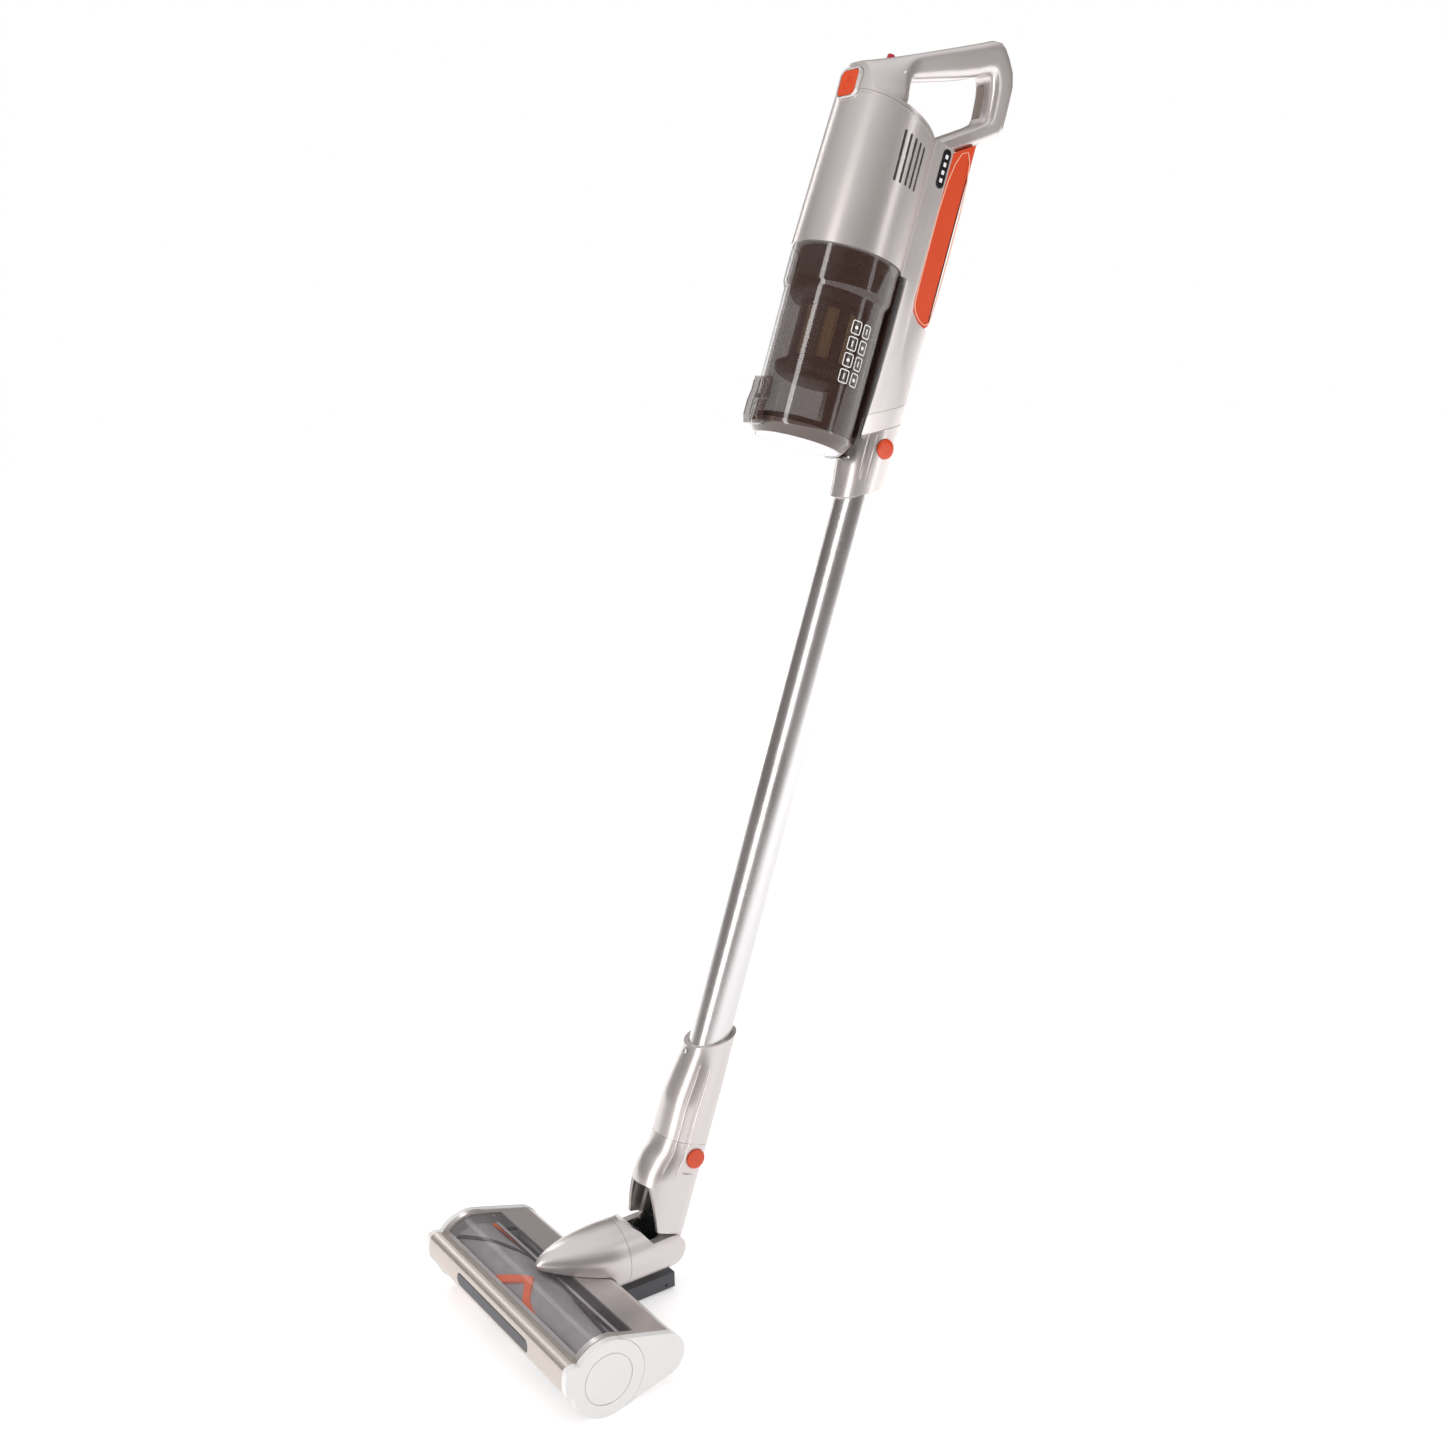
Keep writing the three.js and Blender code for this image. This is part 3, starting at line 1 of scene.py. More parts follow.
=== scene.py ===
"""Looks of the cordless stick vacuum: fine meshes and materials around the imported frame."""
import json
import math
import random

import bmesh
import bpy
import numpy as np
from mathutils import Matrix, Vector


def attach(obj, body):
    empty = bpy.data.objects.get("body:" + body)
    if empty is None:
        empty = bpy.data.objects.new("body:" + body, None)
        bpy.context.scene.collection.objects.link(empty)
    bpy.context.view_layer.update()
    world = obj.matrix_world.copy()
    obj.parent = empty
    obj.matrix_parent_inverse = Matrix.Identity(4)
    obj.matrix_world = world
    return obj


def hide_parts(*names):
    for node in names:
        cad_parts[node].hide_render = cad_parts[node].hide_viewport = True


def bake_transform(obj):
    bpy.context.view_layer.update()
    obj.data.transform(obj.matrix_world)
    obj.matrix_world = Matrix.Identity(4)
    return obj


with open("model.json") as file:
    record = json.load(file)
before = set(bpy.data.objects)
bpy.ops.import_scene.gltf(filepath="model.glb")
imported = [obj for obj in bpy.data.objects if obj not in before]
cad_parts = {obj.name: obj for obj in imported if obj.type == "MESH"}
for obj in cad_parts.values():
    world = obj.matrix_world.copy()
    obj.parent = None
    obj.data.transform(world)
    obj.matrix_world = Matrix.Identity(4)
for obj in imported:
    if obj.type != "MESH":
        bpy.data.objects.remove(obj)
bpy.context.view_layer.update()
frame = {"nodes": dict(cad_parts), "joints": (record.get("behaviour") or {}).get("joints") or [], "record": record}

MM = 0.001
TURN = 2 * math.pi
GAP = 0.3  # between touching pieces, in millimetres
joints = {joint["name"]: joint for joint in frame["joints"]}
node_body = {n: b for b, ns in frame["record"]["behaviour"]["bodies"].items() for n in ns}
slots = {row["node"]: row["material_slot"] for row in frame["record"]["subparts"]}

# The wand's own frame has its origin at the neck hinge and Z up along the tube, in millimetres
PIVOT = Vector(joints["neck_pitch"]["pos_m"])
UP = -Vector(joints["boost_press"]["axis"])
LEAN = math.atan2(UP.y, UP.z)
WAND = Matrix.Translation(PIVOT) @ Matrix.Rotation(-LEAN, 4, "X") @ Matrix.Scale(MM, 4)
NECK = Matrix.Translation(PIVOT) @ Matrix.Scale(MM, 4)
HEAD = Matrix.Translation((0, PIVOT.y, 0)) @ Matrix.Scale(MM, 4)


def span(node, place):
    """Lowest and highest corner of a CAD node in a local frame, in millimetres."""
    inverse = np.array(place.inverted())
    co = np.array([v.co for v in frame["nodes"][node].data.vertices], float)
    local = co @ inverse[:3, :3].T + inverse[:3, 3]
    return local.min(0), local.max(0)


# ---------------------------------------------------------------- camera and light
AZIMUTH, ELEVATION, ROLL = math.radians(55.41), math.radians(13.29), math.radians(-1.43)
CAMERA_FROM_PIVOT = Vector((1.0806, -0.6622, 0.7545))
LENS, SENSOR = 40.32, 36


def make_camera():
    back = Vector((math.sin(AZIMUTH) * math.cos(ELEVATION), -math.cos(AZIMUTH) * math.cos(ELEVATION),
                   math.sin(ELEVATION)))
    level = Vector((math.cos(AZIMUTH), math.sin(AZIMUTH), 0))
    upright = back.cross(level)
    right = level * math.cos(ROLL) + upright * math.sin(ROLL)
    up = back.cross(right)
    data = bpy.data.cameras.new("camera")
    data.lens = LENS
    data.sensor_width = SENSOR
    camera = bpy.data.objects.new("camera", data)
    bpy.context.scene.collection.objects.link(camera)
    turn = Matrix((right, up, back)).transposed().to_4x4()
    camera.matrix_world = Matrix.Translation(PIVOT + CAMERA_FROM_PIVOT) @ turn
    bpy.context.scene.camera = camera


def area_light(name, place, target, width, height, power, color=(1, 1, 1)):
    data = bpy.data.lights.new(name, "AREA")
    data.shape = "RECTANGLE"
    data.size, data.size_y = width, height
    data.energy = power
    data.color = color
    light = bpy.data.objects.new(name, data)
    bpy.context.scene.collection.objects.link(light)
    direction = Vector(target) - Vector(place)
    light.matrix_world = Matrix.Translation(place) @ direction.to_track_quat("-Z", "Y").to_matrix().to_4x4()
    return light


def make_world():
    """Bright above and darker at the sides, with plain white for what the camera sees directly."""
    world = bpy.data.worlds.new("studio")
    bpy.context.scene.world = world
    world.use_nodes = True
    tree = world.node_tree
    background = tree.nodes["Background"]
    where = tree.nodes.new("ShaderNodeTexCoord")
    split = tree.nodes.new("ShaderNodeSeparateXYZ")
    ramp = tree.nodes.new("ShaderNodeValToRGB")
    ramp.color_ramp.elements[0].position, ramp.color_ramp.elements[0].color = 0.42, (0.17, 0.15, 0.14, 1)
    ramp.color_ramp.elements[1].position, ramp.color_ramp.elements[1].color = 0.85, (1.0, 1.0, 1.0, 1)
    path = tree.nodes.new("ShaderNodeLightPath")
    seen = tree.nodes.new("ShaderNodeMix")
    seen.data_type = "RGBA"
    seen.inputs["B"].default_value = (1, 1, 1, 1)
    tree.links.new(where.outputs["Generated"], split.inputs["Vector"])
    tree.links.new(split.outputs["Z"], ramp.inputs["Fac"])
    tree.links.new(path.outputs["Is Camera Ray"], seen.inputs["Factor"])
    tree.links.new(ramp.outputs["Color"], seen.inputs["A"])
    tree.links.new(seen.outputs["Result"], background.inputs["Color"])


def make_studio():
    make_world()
    middle = (0, 0, 0.55)  # half way up the vacuum
    area_light("key", (0.75, -2.65, 1.2), middle, 0.5, 2.9, 30, (1, 0.985, 0.97))
    area_light("side", (2.5, 1.5, 1.2), middle, 0.4, 2.4, 7)
    area_light("back", (-2.4, 0.2, 1.3), middle, 0.5, 2.2, 8)
    mesh = bpy.data.meshes.new("floor")
    reach, drop = 12, 0.0005  # the floor lies a hair low, so that it never flickers with the soles
    mesh.from_pydata([(-reach, -reach, 0), (reach, -reach, 0), (reach, reach, 0), (-reach, reach, 0)], [],
                     [(0, 1, 2, 3)])
    floor = bpy.data.objects.new("floor", mesh)
    floor.location.z = -drop
    bpy.context.scene.collection.objects.link(floor)
    mesh.materials.append(floor_white())
    bpy.context.scene.view_settings.view_transform = "Standard"


# ---------------------------------------------------------------- materials
def start_material():
    mat = bpy.data.materials.new("look")
    mat.use_nodes = True
    tree = mat.node_tree
    return mat, tree, tree.nodes["Principled BSDF"]


def add_node(tree, kind, **values):
    node = tree.nodes.new(kind)
    for key, value in values.items():
        if key in node.inputs:
            node.inputs[key].default_value = value
        else:
            setattr(node, key, value)
    return node


def coordinates(tree, stretch=(1, 1, 1), turn=(0, 0, 0)):
    place = add_node(tree, "ShaderNodeTexCoord")
    mapping = add_node(tree, "ShaderNodeMapping")
    mapping.inputs["Scale"].default_value = stretch
    mapping.inputs["Rotation"].default_value = turn
    tree.links.new(place.outputs["Object"], mapping.inputs["Vector"])
    return mapping.outputs["Vector"]


def vary(tree, value, low, high, target):
    """Feeds a 0 to 1 value, remapped to low and high, into a socket."""
    scale = add_node(tree, "ShaderNodeMapRange")
    scale.inputs["To Min"].default_value = low
    scale.inputs["To Max"].default_value = high
    tree.links.new(value, scale.inputs["Value"])
    tree.links.new(scale.outputs["Result"], target)


def paint(color, roughness, metallic=0.0, grain=0.06, grain_scale=60.0, bump=0.03, bump_scale=2500.0,
          stretch=(1, 1, 1), coat=0.0, rough_vary=0.12):
    """A surface with slight colour and gloss variation and a fine moulded texture."""
    mat, tree, shader = start_material()
    where = coordinates(tree, stretch, (LEAN, 0, 0))
    broad = add_node(tree, "ShaderNodeTexNoise", Scale=grain_scale, Detail=4.0, Roughness=0.6)
    fine = add_node(tree, "ShaderNodeTexNoise", Scale=bump_scale, Detail=3.0, Roughness=0.5)
    tree.links.new(where, broad.inputs["Vector"])
    tree.links.new(where, fine.inputs["Vector"])
    tone = add_node(tree, "ShaderNodeMix", data_type="RGBA")
    dark = [c * (1 - grain) for c in color]
    light = [min(1, c * (1 + grain)) for c in color]
    tone.inputs["A"].default_value = (*dark, 1)
    tone.inputs["B"].default_value = (*light, 1)
    tree.links.new(broad.outputs["Fac"], tone.inputs["Factor"])
    tree.links.new(tone.outputs["Result"], shader.inputs["Base Color"])
    vary(tree, broad.outputs["Fac"], roughness * (1 - rough_vary), roughness * (1 + rough_vary),
         shader.inputs["Roughness"])
    relief = add_node(tree, "ShaderNodeBump", Strength=bump, Distance=0.0005)
    tree.links.new(fine.outputs["Fac"], relief.inputs["Height"])
    tree.links.new(relief.outputs["Normal"], shader.inputs["Normal"])
    shader.inputs["Metallic"].default_value = metallic
    shader.inputs["Coat Weight"].default_value = coat
    return mat


def clear(color, alpha, roughness=0.04):
    """Tinted clear plastic with faint flow marks: a thin film that lets most light straight through."""
    mat, tree, shader = start_material()
    where = coordinates(tree, (1, 1, 0.2), (LEAN, 0, 0))
    flow = add_node(tree, "ShaderNodeTexNoise", Scale=40.0, Detail=2.0)
    tree.links.new(where, flow.inputs["Vector"])
    tone = add_node(tree, "ShaderNodeMix", data_type="RGBA")
    tone.inputs["A"].default_value = (*[c * 0.9 for c in color], 1)
    tone.inputs["B"].default_value = (*color, 1)
    tree.links.new(flow.outputs["Fac"], tone.inputs["Factor"])
    tree.links.new(tone.outputs["Result"], shader.inputs["Base Color"])
    vary(tree, flow.outputs["Fac"], roughness * 0.7, roughness * 1.3, shader.inputs["Roughness"])
    shader.inputs["Alpha"].default_value = alpha
    shader.inputs["IOR"].default_value = 1.6
    shader.inputs["Coat Weight"].default_value = 1.0
    return mat


def floor_white():
    """A pale floor that lights itself a little, so that it stays near white everywhere."""
    mat = paint((0.93, 0.93, 0.93), 0.6, grain=0.01, grain_scale=3)
    shader = mat.node_tree.nodes["Principled BSDF"]
    shader.inputs["Emission Color"].default_value = (1, 1, 1, 1)
    mat.name = "floor_white"
    tree = mat.node_tree
    place = add_node(tree, "ShaderNodeTexCoord")
    reach = add_node(tree, "ShaderNodeVectorMath", operation="LENGTH")
    tree.links.new(place.outputs["Object"], reach.inputs[0])
    fade = add_node(tree, "ShaderNodeMapRange")
    fade.inputs["From Min"].default_value, fade.inputs["From Max"].default_value = 0.3, 2.2
    fade.inputs["To Min"].default_value, fade.inputs["To Max"].default_value = 0.45, 1.0
    tree.links.new(reach.outputs["Value"], fade.inputs["Value"])
    tree.links.new(fade.outputs["Result"], shader.inputs["Emission Strength"])
    return mat


def golden_mesh():
    mat, tree, shader = start_material()
    where = coordinates(tree, (1, 1, 1), (LEAN, 0, 0))
    holes = add_node(tree, "ShaderNodeTexVoronoi", Scale=900.0, Randomness=0.2)
    tree.links.new(where, holes.inputs["Vector"])
    ramp = add_node(tree, "ShaderNodeValToRGB")
    ramp.color_ramp.elements[0].position, ramp.color_ramp.elements[0].color = 0.25, (0.10, 0.06, 0.03, 1)
    ramp.color_ramp.elements[1].position, ramp.color_ramp.elements[1].color = 0.42, (0.80, 0.56, 0.34, 1)
    tree.links.new(holes.outputs["Distance"], ramp.inputs["Fac"])
    tree.links.new(ramp.outputs["Color"], shader.inputs["Base Color"])
    relief = add_node(tree, "ShaderNodeBump", Strength=0.4, Distance=0.0003)
    tree.links.new(holes.outputs["Distance"], relief.inputs["Height"])
    tree.links.new(relief.outputs["Normal"], shader.inputs["Normal"])
    vary(tree, holes.outputs["Distance"], 0.5, 0.3, shader.inputs["Roughness"])
    shader.inputs["Metallic"].default_value = 0.6
    return mat


LOOKS = {
    "champagne_silver": paint((0.66, 0.615, 0.605), 0.30, 0.72, 0.03, 25, 0.05, 5000,
                              coat=0.25),
    "pale_trim": paint((0.78, 0.75, 0.73), 0.25, 0.6, 0.03, 25, 0.03, 5000, coat=0.3),
    "bronze_silver": paint((0.60, 0.535, 0.495), 0.34, 0.7, 0.04, 25, 0.05, 5000, coat=0.2),
    "deck_lilac": paint((0.70, 0.665, 0.675), 0.30, 0.55, 0.03, 25, 0.04, 5000, coat=0.3),
    "brushed_tube": paint((0.70, 0.685, 0.69), 0.27, 1.0, 0.05, 30, 0.10, 3000,
                          stretch=(1, 1, 0.01), rough_vary=0.25),
    "end_cap_white": paint((0.86, 0.855, 0.85), 0.32, 0.0, 0.02, 40, 0.04, 3000, coat=0.15),
    "orange": paint((0.70, 0.055, 0.001), 0.40, 0.0, 0.07, 60, 0.08, 3500, coat=0.25),
    "boost_red": paint((0.55, 0.02, 0.05), 0.3, 0.0, 0.06, 200, 0.05, 3000, coat=0.3),
    "black_plastic": paint((0.016, 0.016, 0.018), 0.38, 0.0, 0.2, 80, 0.10, 2500),
    "dark_grey_plastic": paint((0.07, 0.07, 0.08), 0.42, 0.0, 0.12, 80, 0.12, 2500),
    "indicator_black": paint((0.01, 0.01, 0.012), 0.12, 0.0, 0.2, 80, 0.02, 2500,
                             coat=0.5),
    "indicator_light": paint((0.9, 0.9, 0.92), 0.3, 0.0, 0.03, 400, 0.05, 2500),
    "grip_brown": paint((0.33, 0.27, 0.24), 0.5, 0.3, 0.08, 120, 0.10, 2500),
    "smoked_clear": clear((0.075, 0.036, 0.027), 0.42),
    "window_clear": clear((0.36, 0.34, 0.38), 0.14),
    "smoked_dark": paint((0.085, 0.058, 0.05), 0.16, 0.0, 0.15, 50, 0.02, 2500, coat=0.8),
    "lilac_disc": paint((0.70, 0.665, 0.74), 0.4, 0.0, 0.03, 60, 0.05, 3000),
    "black_rubber": paint((0.012, 0.012, 0.013), 0.3, 0.0, 0.2, 80, 0.08, 2000),
    "golden_mesh": golden_mesh(),
    "steel": paint((0.62, 0.62, 0.63), 0.25, 1.0, 0.05, 100, 0.05, 3000, rough_vary=0.3),
    "motor_metal": paint((0.5, 0.5, 0.51), 0.35, 1.0, 0.05, 100, 0.05, 3000),
    "cell_wrap": paint((0.12, 0.36, 0.16), 0.35, 0.0, 0.05, 100, 0.05, 3000),
    "board_green": paint((0.03, 0.2, 0.08), 0.4, 0.0, 0.15, 400, 0.1, 1500),
    "filter_white": paint((0.85, 0.84, 0.8), 0.9, 0.0, 0.08, 300, 0.5, 1200),
    "brush_fluff": paint((0.36, 0.34, 0.345), 0.85, 0.0, 0.35, 90, 0.5, 900,
                         stretch=(0.5, 1, 1)),
    "brush_orange": paint((0.98, 0.13, 0.005), 0.7, 0.0, 0.15, 200, 0.4, 1200),
    "bristle_black": paint((0.02, 0.02, 0.022), 0.5, 0.0, 0.2, 200, 0.2, 1500),
    "pulley_white": paint((0.8, 0.8, 0.8), 0.4, 0.0, 0.04, 100, 0.05, 3000),
    "print_white": paint((0.88, 0.88, 0.88), 0.5, 0.0, 0.04, 400, 0.05, 3000),
    # A light peach for the painted highlight along the battery's edges
    "peach_edge_highlight": paint((0.95, 0.52, 0.36), 0.4, 0.0, 0.04, 200, 0.05, 3000),
}
for name, look in LOOKS.items():
    look.name = name


# ---------------------------------------------------------------- mesh tools, in millimetres
FINE = 128  # points round a large round piece


def raw(verts, faces):
    mesh = bpy.data.meshes.new("work")
    mesh.from_pydata([tuple(v) for v in verts], [], faces)
    mesh.update()
    piece = bpy.data.objects.new("work", mesh)
    bpy.context.scene.collection.objects.link(piece)
    return outward(piece)


def outward(piece):
    """Turns all faces of a closed mesh outwards."""
    mesh = piece.data
    mesh.calc_loop_triangles()
    co = np.array([v.co for v in mesh.vertices], float)
    tris = np.array([t.vertices[:] for t in mesh.loop_triangles], int)
    a, b, c = co[tris[:, 0]], co[tris[:, 1]], co[tris[:, 2]]
    if np.einsum("ij,ij->i", a, np.cross(b, c)).sum() < 0:
        mesh.flip_normals()
    return piece


def loft(rings, closed=True):
    """Skin through rings of equal point count, with flat ends."""
    count = len(rings[0])
    verts = [p for ring in rings for p in ring]
    faces = []
    for i in range(len(rings) - 1):
        for k in range(count):
            a, b = i * count + k, i * count + (k + 1) % count
            faces.append((a, b, b + count, a + count))
    if closed:
        faces.append(tuple(range(count))[::-1])
        last = (len(rings) - 1) * count
        faces.append(tuple(range(last, last + count)))
    return raw(verts, faces)


def oval(a, b, y, z, count=FINE, x=0.0):
    return [(x + a * math.cos(TURN * k / count), y + b * math.sin(TURN * k / count), z) for k in range(count)]


def turned(profile, y=0.0, count=FINE):
    """A closed profile of (radius, z) turned about a vertical axis."""
    on_axis = [i for i, (r, _) in enumerate(profile) if r <= 1e-6]
    if on_axis:
        start = on_axis[-1] if len(on_axis) > 1 else on_axis[0]
        order = profile[start:] + profile[:start]
        rings = [oval(max(r, 0.01), max(r, 0.01), y, z, count) for r, z in order]
        return loft(rings)
    rings = [oval(r, r, y, z, count) for r, z in profile]
    verts = [p for ring in rings for p in ring]
    faces = []
    n = len(rings)
    for i in range(n):
        for k in range(count):
            a, b = i * count + k, i * count + (k + 1) % count
            j = (i + 1) % n
            faces.append((a, b, j * count + (k + 1) % count, j * count + k))
    return raw(verts, faces)


def cylinder(axis, radius, low, high, centre=(0.0, 0.0), count=FINE):
    """A cylinder along x, y or z; centre holds the two other coordinates in order."""
    rings = []
    for level in (low, high):
        ring = []
        for k in range(count):
            u = centre[0] + radius * math.cos(TURN * k / count)
            v = centre[1] + radius * math.sin(TURN * k / count)
            ring.append({"x": (level, u, v), "y": (u, level, v), "z": (u, v, level)}[axis])
        rings.append(ring)
    return loft(rings)


def block(x0, x1, y0, y1, z0, z1):
    return loft([[(x0, y0, z), (x1, y0, z), (x1, y1, z), (x0, y1, z)] for z in (z0, z1)])


def prism(outline, low, high, axis="x"):
    """An outline pushed along x ([y, z] points), y ([x, z] points) or z ([x, y] points)."""
    spots = {
        "x": lambda t, a, b: (t, a, b),
        "y": lambda t, a, b: (a, t, b),
        "z": lambda t, a, b: (a, b, t),
    }[axis]
    return loft([[spots(t, a, b) for a, b in outline] for t in (low, high)])


def rounded(a, b, half_a, half_b, radius, steps=8):
    """A rounded rectangle centred on (a, b)."""
    points = []
    for sa, sb, start in ((1, 1, 0), (-1, 1, 90), (-1, -1, 180), (1, -1, 270)):
        ca, cb = a + sa * (half_a - radius), b + sb * (half_b - radius)
        for k in range(steps + 1):
            angle = math.radians(start + 90 * k / steps)
            points.append((ca + radius * math.cos(angle), cb + radius * math.sin(angle)))
    return points


def half_space(level, slope, side, y0=0.0, reach=200.0):
    """Everything above (side 1) or below (side -1) a plane that rises by slope along y."""
    far = level + side * 400
    line = [(y0 - reach, level - slope * reach), (y0 + reach, level + slope * reach),
            (y0 + reach, far + slope * reach), (y0 - reach, far - slope * reach)]
    return prism(line, -reach, reach)


def combine(base, operation, *others):
    for other in others:
        step = base.modifiers.new("step", "BOOLEAN")
        step.object, step.operation, step.solver = other, operation, "MANIFOLD"
        bpy.context.view_layer.update()
        fresh = bpy.data.meshes.new_from_object(base.evaluated_get(bpy.context.evaluated_depsgraph_get()))
        base.modifiers.clear()
        old, base.data = base.data, fresh
        bpy.data.meshes.remove(old)
        bpy.data.objects.remove(other)
    return base


def cut(base, *others):
    return combine(base, "DIFFERENCE", *others)


def join(base, *others):
    return combine(base, "UNION", *others)


def keep(base, *others):
    return combine(base, "INTERSECT", *others)


def smooth_corners(points, rounds=2, closed=False):
    """Chaikin's corner cutting on an array of points or rings."""
    points = [np.array(p, float) for p in points]
    for _ in range(rounds):
        fresh = [] if closed else [points[0]]
        pairs = zip(points, points[1:] + points[:1]) if closed else zip(points, points[1:])
        for p, q in pairs:
            fresh += [0.75 * p + 0.25 * q, 0.25 * p + 0.75 * q]
        points = fresh if closed else fresh + [points[-1]]
    return points


def piece_of(work, name, place, nodes, slot, look=None, bevel=0.4, angle=32, body=None, segments=2,
             bend=None):
    """Names a working mesh, places it in the row frame, and gives it edges, a look and a body.

    Angle is the least fold in degrees that gets a rounded edge."""
    work.name = name
    work.data.name = name
    work.data.transform(place)
    work.data.materials.clear()
    work.data.materials.append(LOOKS[look or slot])
    for face in work.data.polygons:
        face.use_smooth = True
        face.material_index = 0
    if bevel:
        edge = work.modifiers.new("edges", "BEVEL")
        edge.width, edge.segments = bevel * MM, segments
        edge.limit_method, edge.angle_limit = "ANGLE", math.radians(angle)
        edge.harden_normals = False
        edge.miter_outer = "MITER_ARC"
    work.data.set_sharp_from_angle(angle=math.radians(angle + 8))
    shading = work.modifiers.new("shading", "WEIGHTED_NORMAL")
    shading.keep_sharp = not bevel
    nodes = [nodes] if isinstance(nodes, str) else list(nodes)
    if bend:
        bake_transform(work)
    else:
        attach(work, body or node_body[nodes[0]])
    if nodes and not body:
        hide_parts(*nodes)
    return work


def fine(work, place, node, slot, look=None, **edges):
    """The fine version of one CAD node."""
    return piece_of(work, node + "_fine", place, node, slot, look, **edges)


def refined(node):
    """A welded copy of a CAD node with rounded edges and smooth faces."""
    work = frame["nodes"][node].copy()
    work.data = work.data.copy()
    for key in list(work.keys()):
        del work[key]
    work.parent = None
    bpy.context.scene.collection.objects.link(work)
    work.data.materials.clear()
    shape = bmesh.new()
    shape.from_mesh(work.data)
    bmesh.ops.remove_doubles(shape, verts=shape.verts, dist=1e-6)
    bmesh.ops.dissolve_limit(shape, angle_limit=math.radians(1), verts=shape.verts, edges=shape.edges)
    shape.to_mesh(work.data)
    shape.free()
    return fine(work, Matrix.Identity(4), node, slots[node], bevel=0.3, angle=30)


# ---------------------------------------------------------------- wand
CUP_Y = -74  # the axis of the cup and the housing
HOUSING_LOW = 841
PLATE_R, PLATE_THICK, PLATE_FRONT = 46, 4, -35.3
MOUTH_SLOPE = 0.53  # how steeply the connectors' mouths are cut off, as a rise along y
SCREW_Z, LOWER_BUTTON_Z, UPPER_BUTTON_Z = 165, 79, 704
BUTTON_SEAT_R = 8.8
DUCT_R = 14.5
tube_low, tube_high = span("wand_tube", WAND)
TUBE_R = tube_high[0]
connector_low, _ = span("lower_connector", WAND)
_, collar_high = span("lower_collar", WAND)


def make_wand_tube():
    wall = 1.2
    low, high = tube_low[2], tube_high[2]
    work = turned([(TUBE_R - wall, low), (TUBE_R, low), (TUBE_R, high), (TUBE_R - wall, high)])
    fine(work, WAND, "wand_tube", "brushed_tube", bevel=0.25)


def plate_room():
    """What the black plate behind the cup takes out of the pieces behind it."""
    return cylinder("z", PLATE_R + PLATE_THICK + GAP, 600, HOUSING_LOW - 2, (0, CUP_Y))


def inlet_port():
    """The way for air from the spine through the plate into the cup."""
    return block(-12, 12, -60, 0, 752, 792)


def flute(sections, angle, low, high, depth=1.3, radius=2.6):
    """A long tapering groove cutter that follows a skin of (half width, half depth, y, z) sections."""
    table = np.array(sections, float)
    rings = []
    for k in range(33):
        t = k / 32
        z = low + (high - low) * t
        a, b, y = (np.interp(z, table[:, 3], table[:, i]) for i in range(3))
        swell = 0.15 + 0.85 * math.sin(math.pi * t) ** 0.5
        sink = radius * swell - depth * swell + 0.3 * (1 - swell)
        x = (a + sink) * math.cos(angle)
        rings.append(oval(radius * swell, radius * swell, y + (b + sink) * math.sin(angle), z, 24, x))
    return loft(rings)


# The skins as (half width, half depth, y, z), and the grooves that run along both of them
FLUTES = [math.radians(-42), math.radians(-19)]
FLUTE_LOW, FLUTE_HIGH = 60, 160
CONNECTOR = [(24.5, 24.5, -4, connector_low[2]), (24.5, 24.5, -4, 120), (24.2, 24.2, -3.6, 128),
             (23, 23, -1.8, 145), (21.8, 21.8, -0.6, 158), (21.2, 21.2, -0.1, 166), (21, 21, 0, 205)]
COLLAR = [(25.5, 28.5, -8.5, 12.4), (25.5, 28.5, -8.5, 54), (25.4, 28.1, -8.1, 61), (25.1, 26.6, -6.6, 71),
          (24.6, 24.8, -4.4, 80)]
COLLAR_TOP = (24.5, 24.5, -4)


def make_lower_connector():
    mouth = 181
    outer = loft([oval(*section) for section in CONNECTOR])
    bore = cylinder("z", TUBE_R + GAP, tube_low[2] - GAP, 300)
    duct = cylinder("z", DUCT_R, 60, 200)
    hole = cylinder("y", 1.75, -30, -TUBE_R, (0, SCREW_Z), 32)
    seat = cylinder("y", 3.4, -30, -20.4, (0, SCREW_Z), 48)
    work = cut(outer, half_space(mouth, MOUTH_SLOPE, 1), bore, duct, hole, seat)
    for angle in FLUTES:
        work = cut(work, flute(CONNECTOR, angle, FLUTE_LOW, FLUTE_HIGH))
    fine(work, WAND, "lower_connector", "champagne_silver", bevel=0.5)


def make_lower_collar():
    top = collar_high[2]
    outer = loft([oval(*section) for section in [*COLLAR, (*COLLAR_TOP, top)]])
    hollow = loft([oval(22.5, 25.5, -8.5, 5), oval(22.5, 25.5, -8.5, 50), oval(DUCT_R, DUCT_R, 0, 62)])
    duct = cylinder("z", DUCT_R, 50, top + 10)
    front = prism([(-60, 48), (-31.5, 48), (-18.3, 11.4), (-18.3, 0), (-60, 0)], -60, 60)
    work = cut(outer, hollow, duct, front)
    work = cut(work, cylinder("x", BUTTON_SEAT_R, TUBE_R + 0.2, 60, (0, LOWER_BUTTON_Z), 64))
    panel = prism(rounded(0.5, 82, 11.5, 17, 2.5), 23.6, 60)
    work = cut(work, panel)
    for angle in FLUTES:
        work = cut(work, flute([*COLLAR, (*COLLAR_TOP, 95)], angle, FLUTE_LOW, FLUTE_HIGH))
    for side in (-1, 1):
        x0, x1 = sorted((side * 13.8, side * 18.4))
        ear = join(cylinder("x", 11, x0, x1, (0, 0), 64), block(x0, x1, -11, 11, 0, 66))
        work = join(work, cut(ear, cylinder("x", 3.7, x0 - 1, x1 + 1, (0, 0), 32)))
    fine(work, WAND, "lower_collar", "champagne_silver", bevel=0.6)


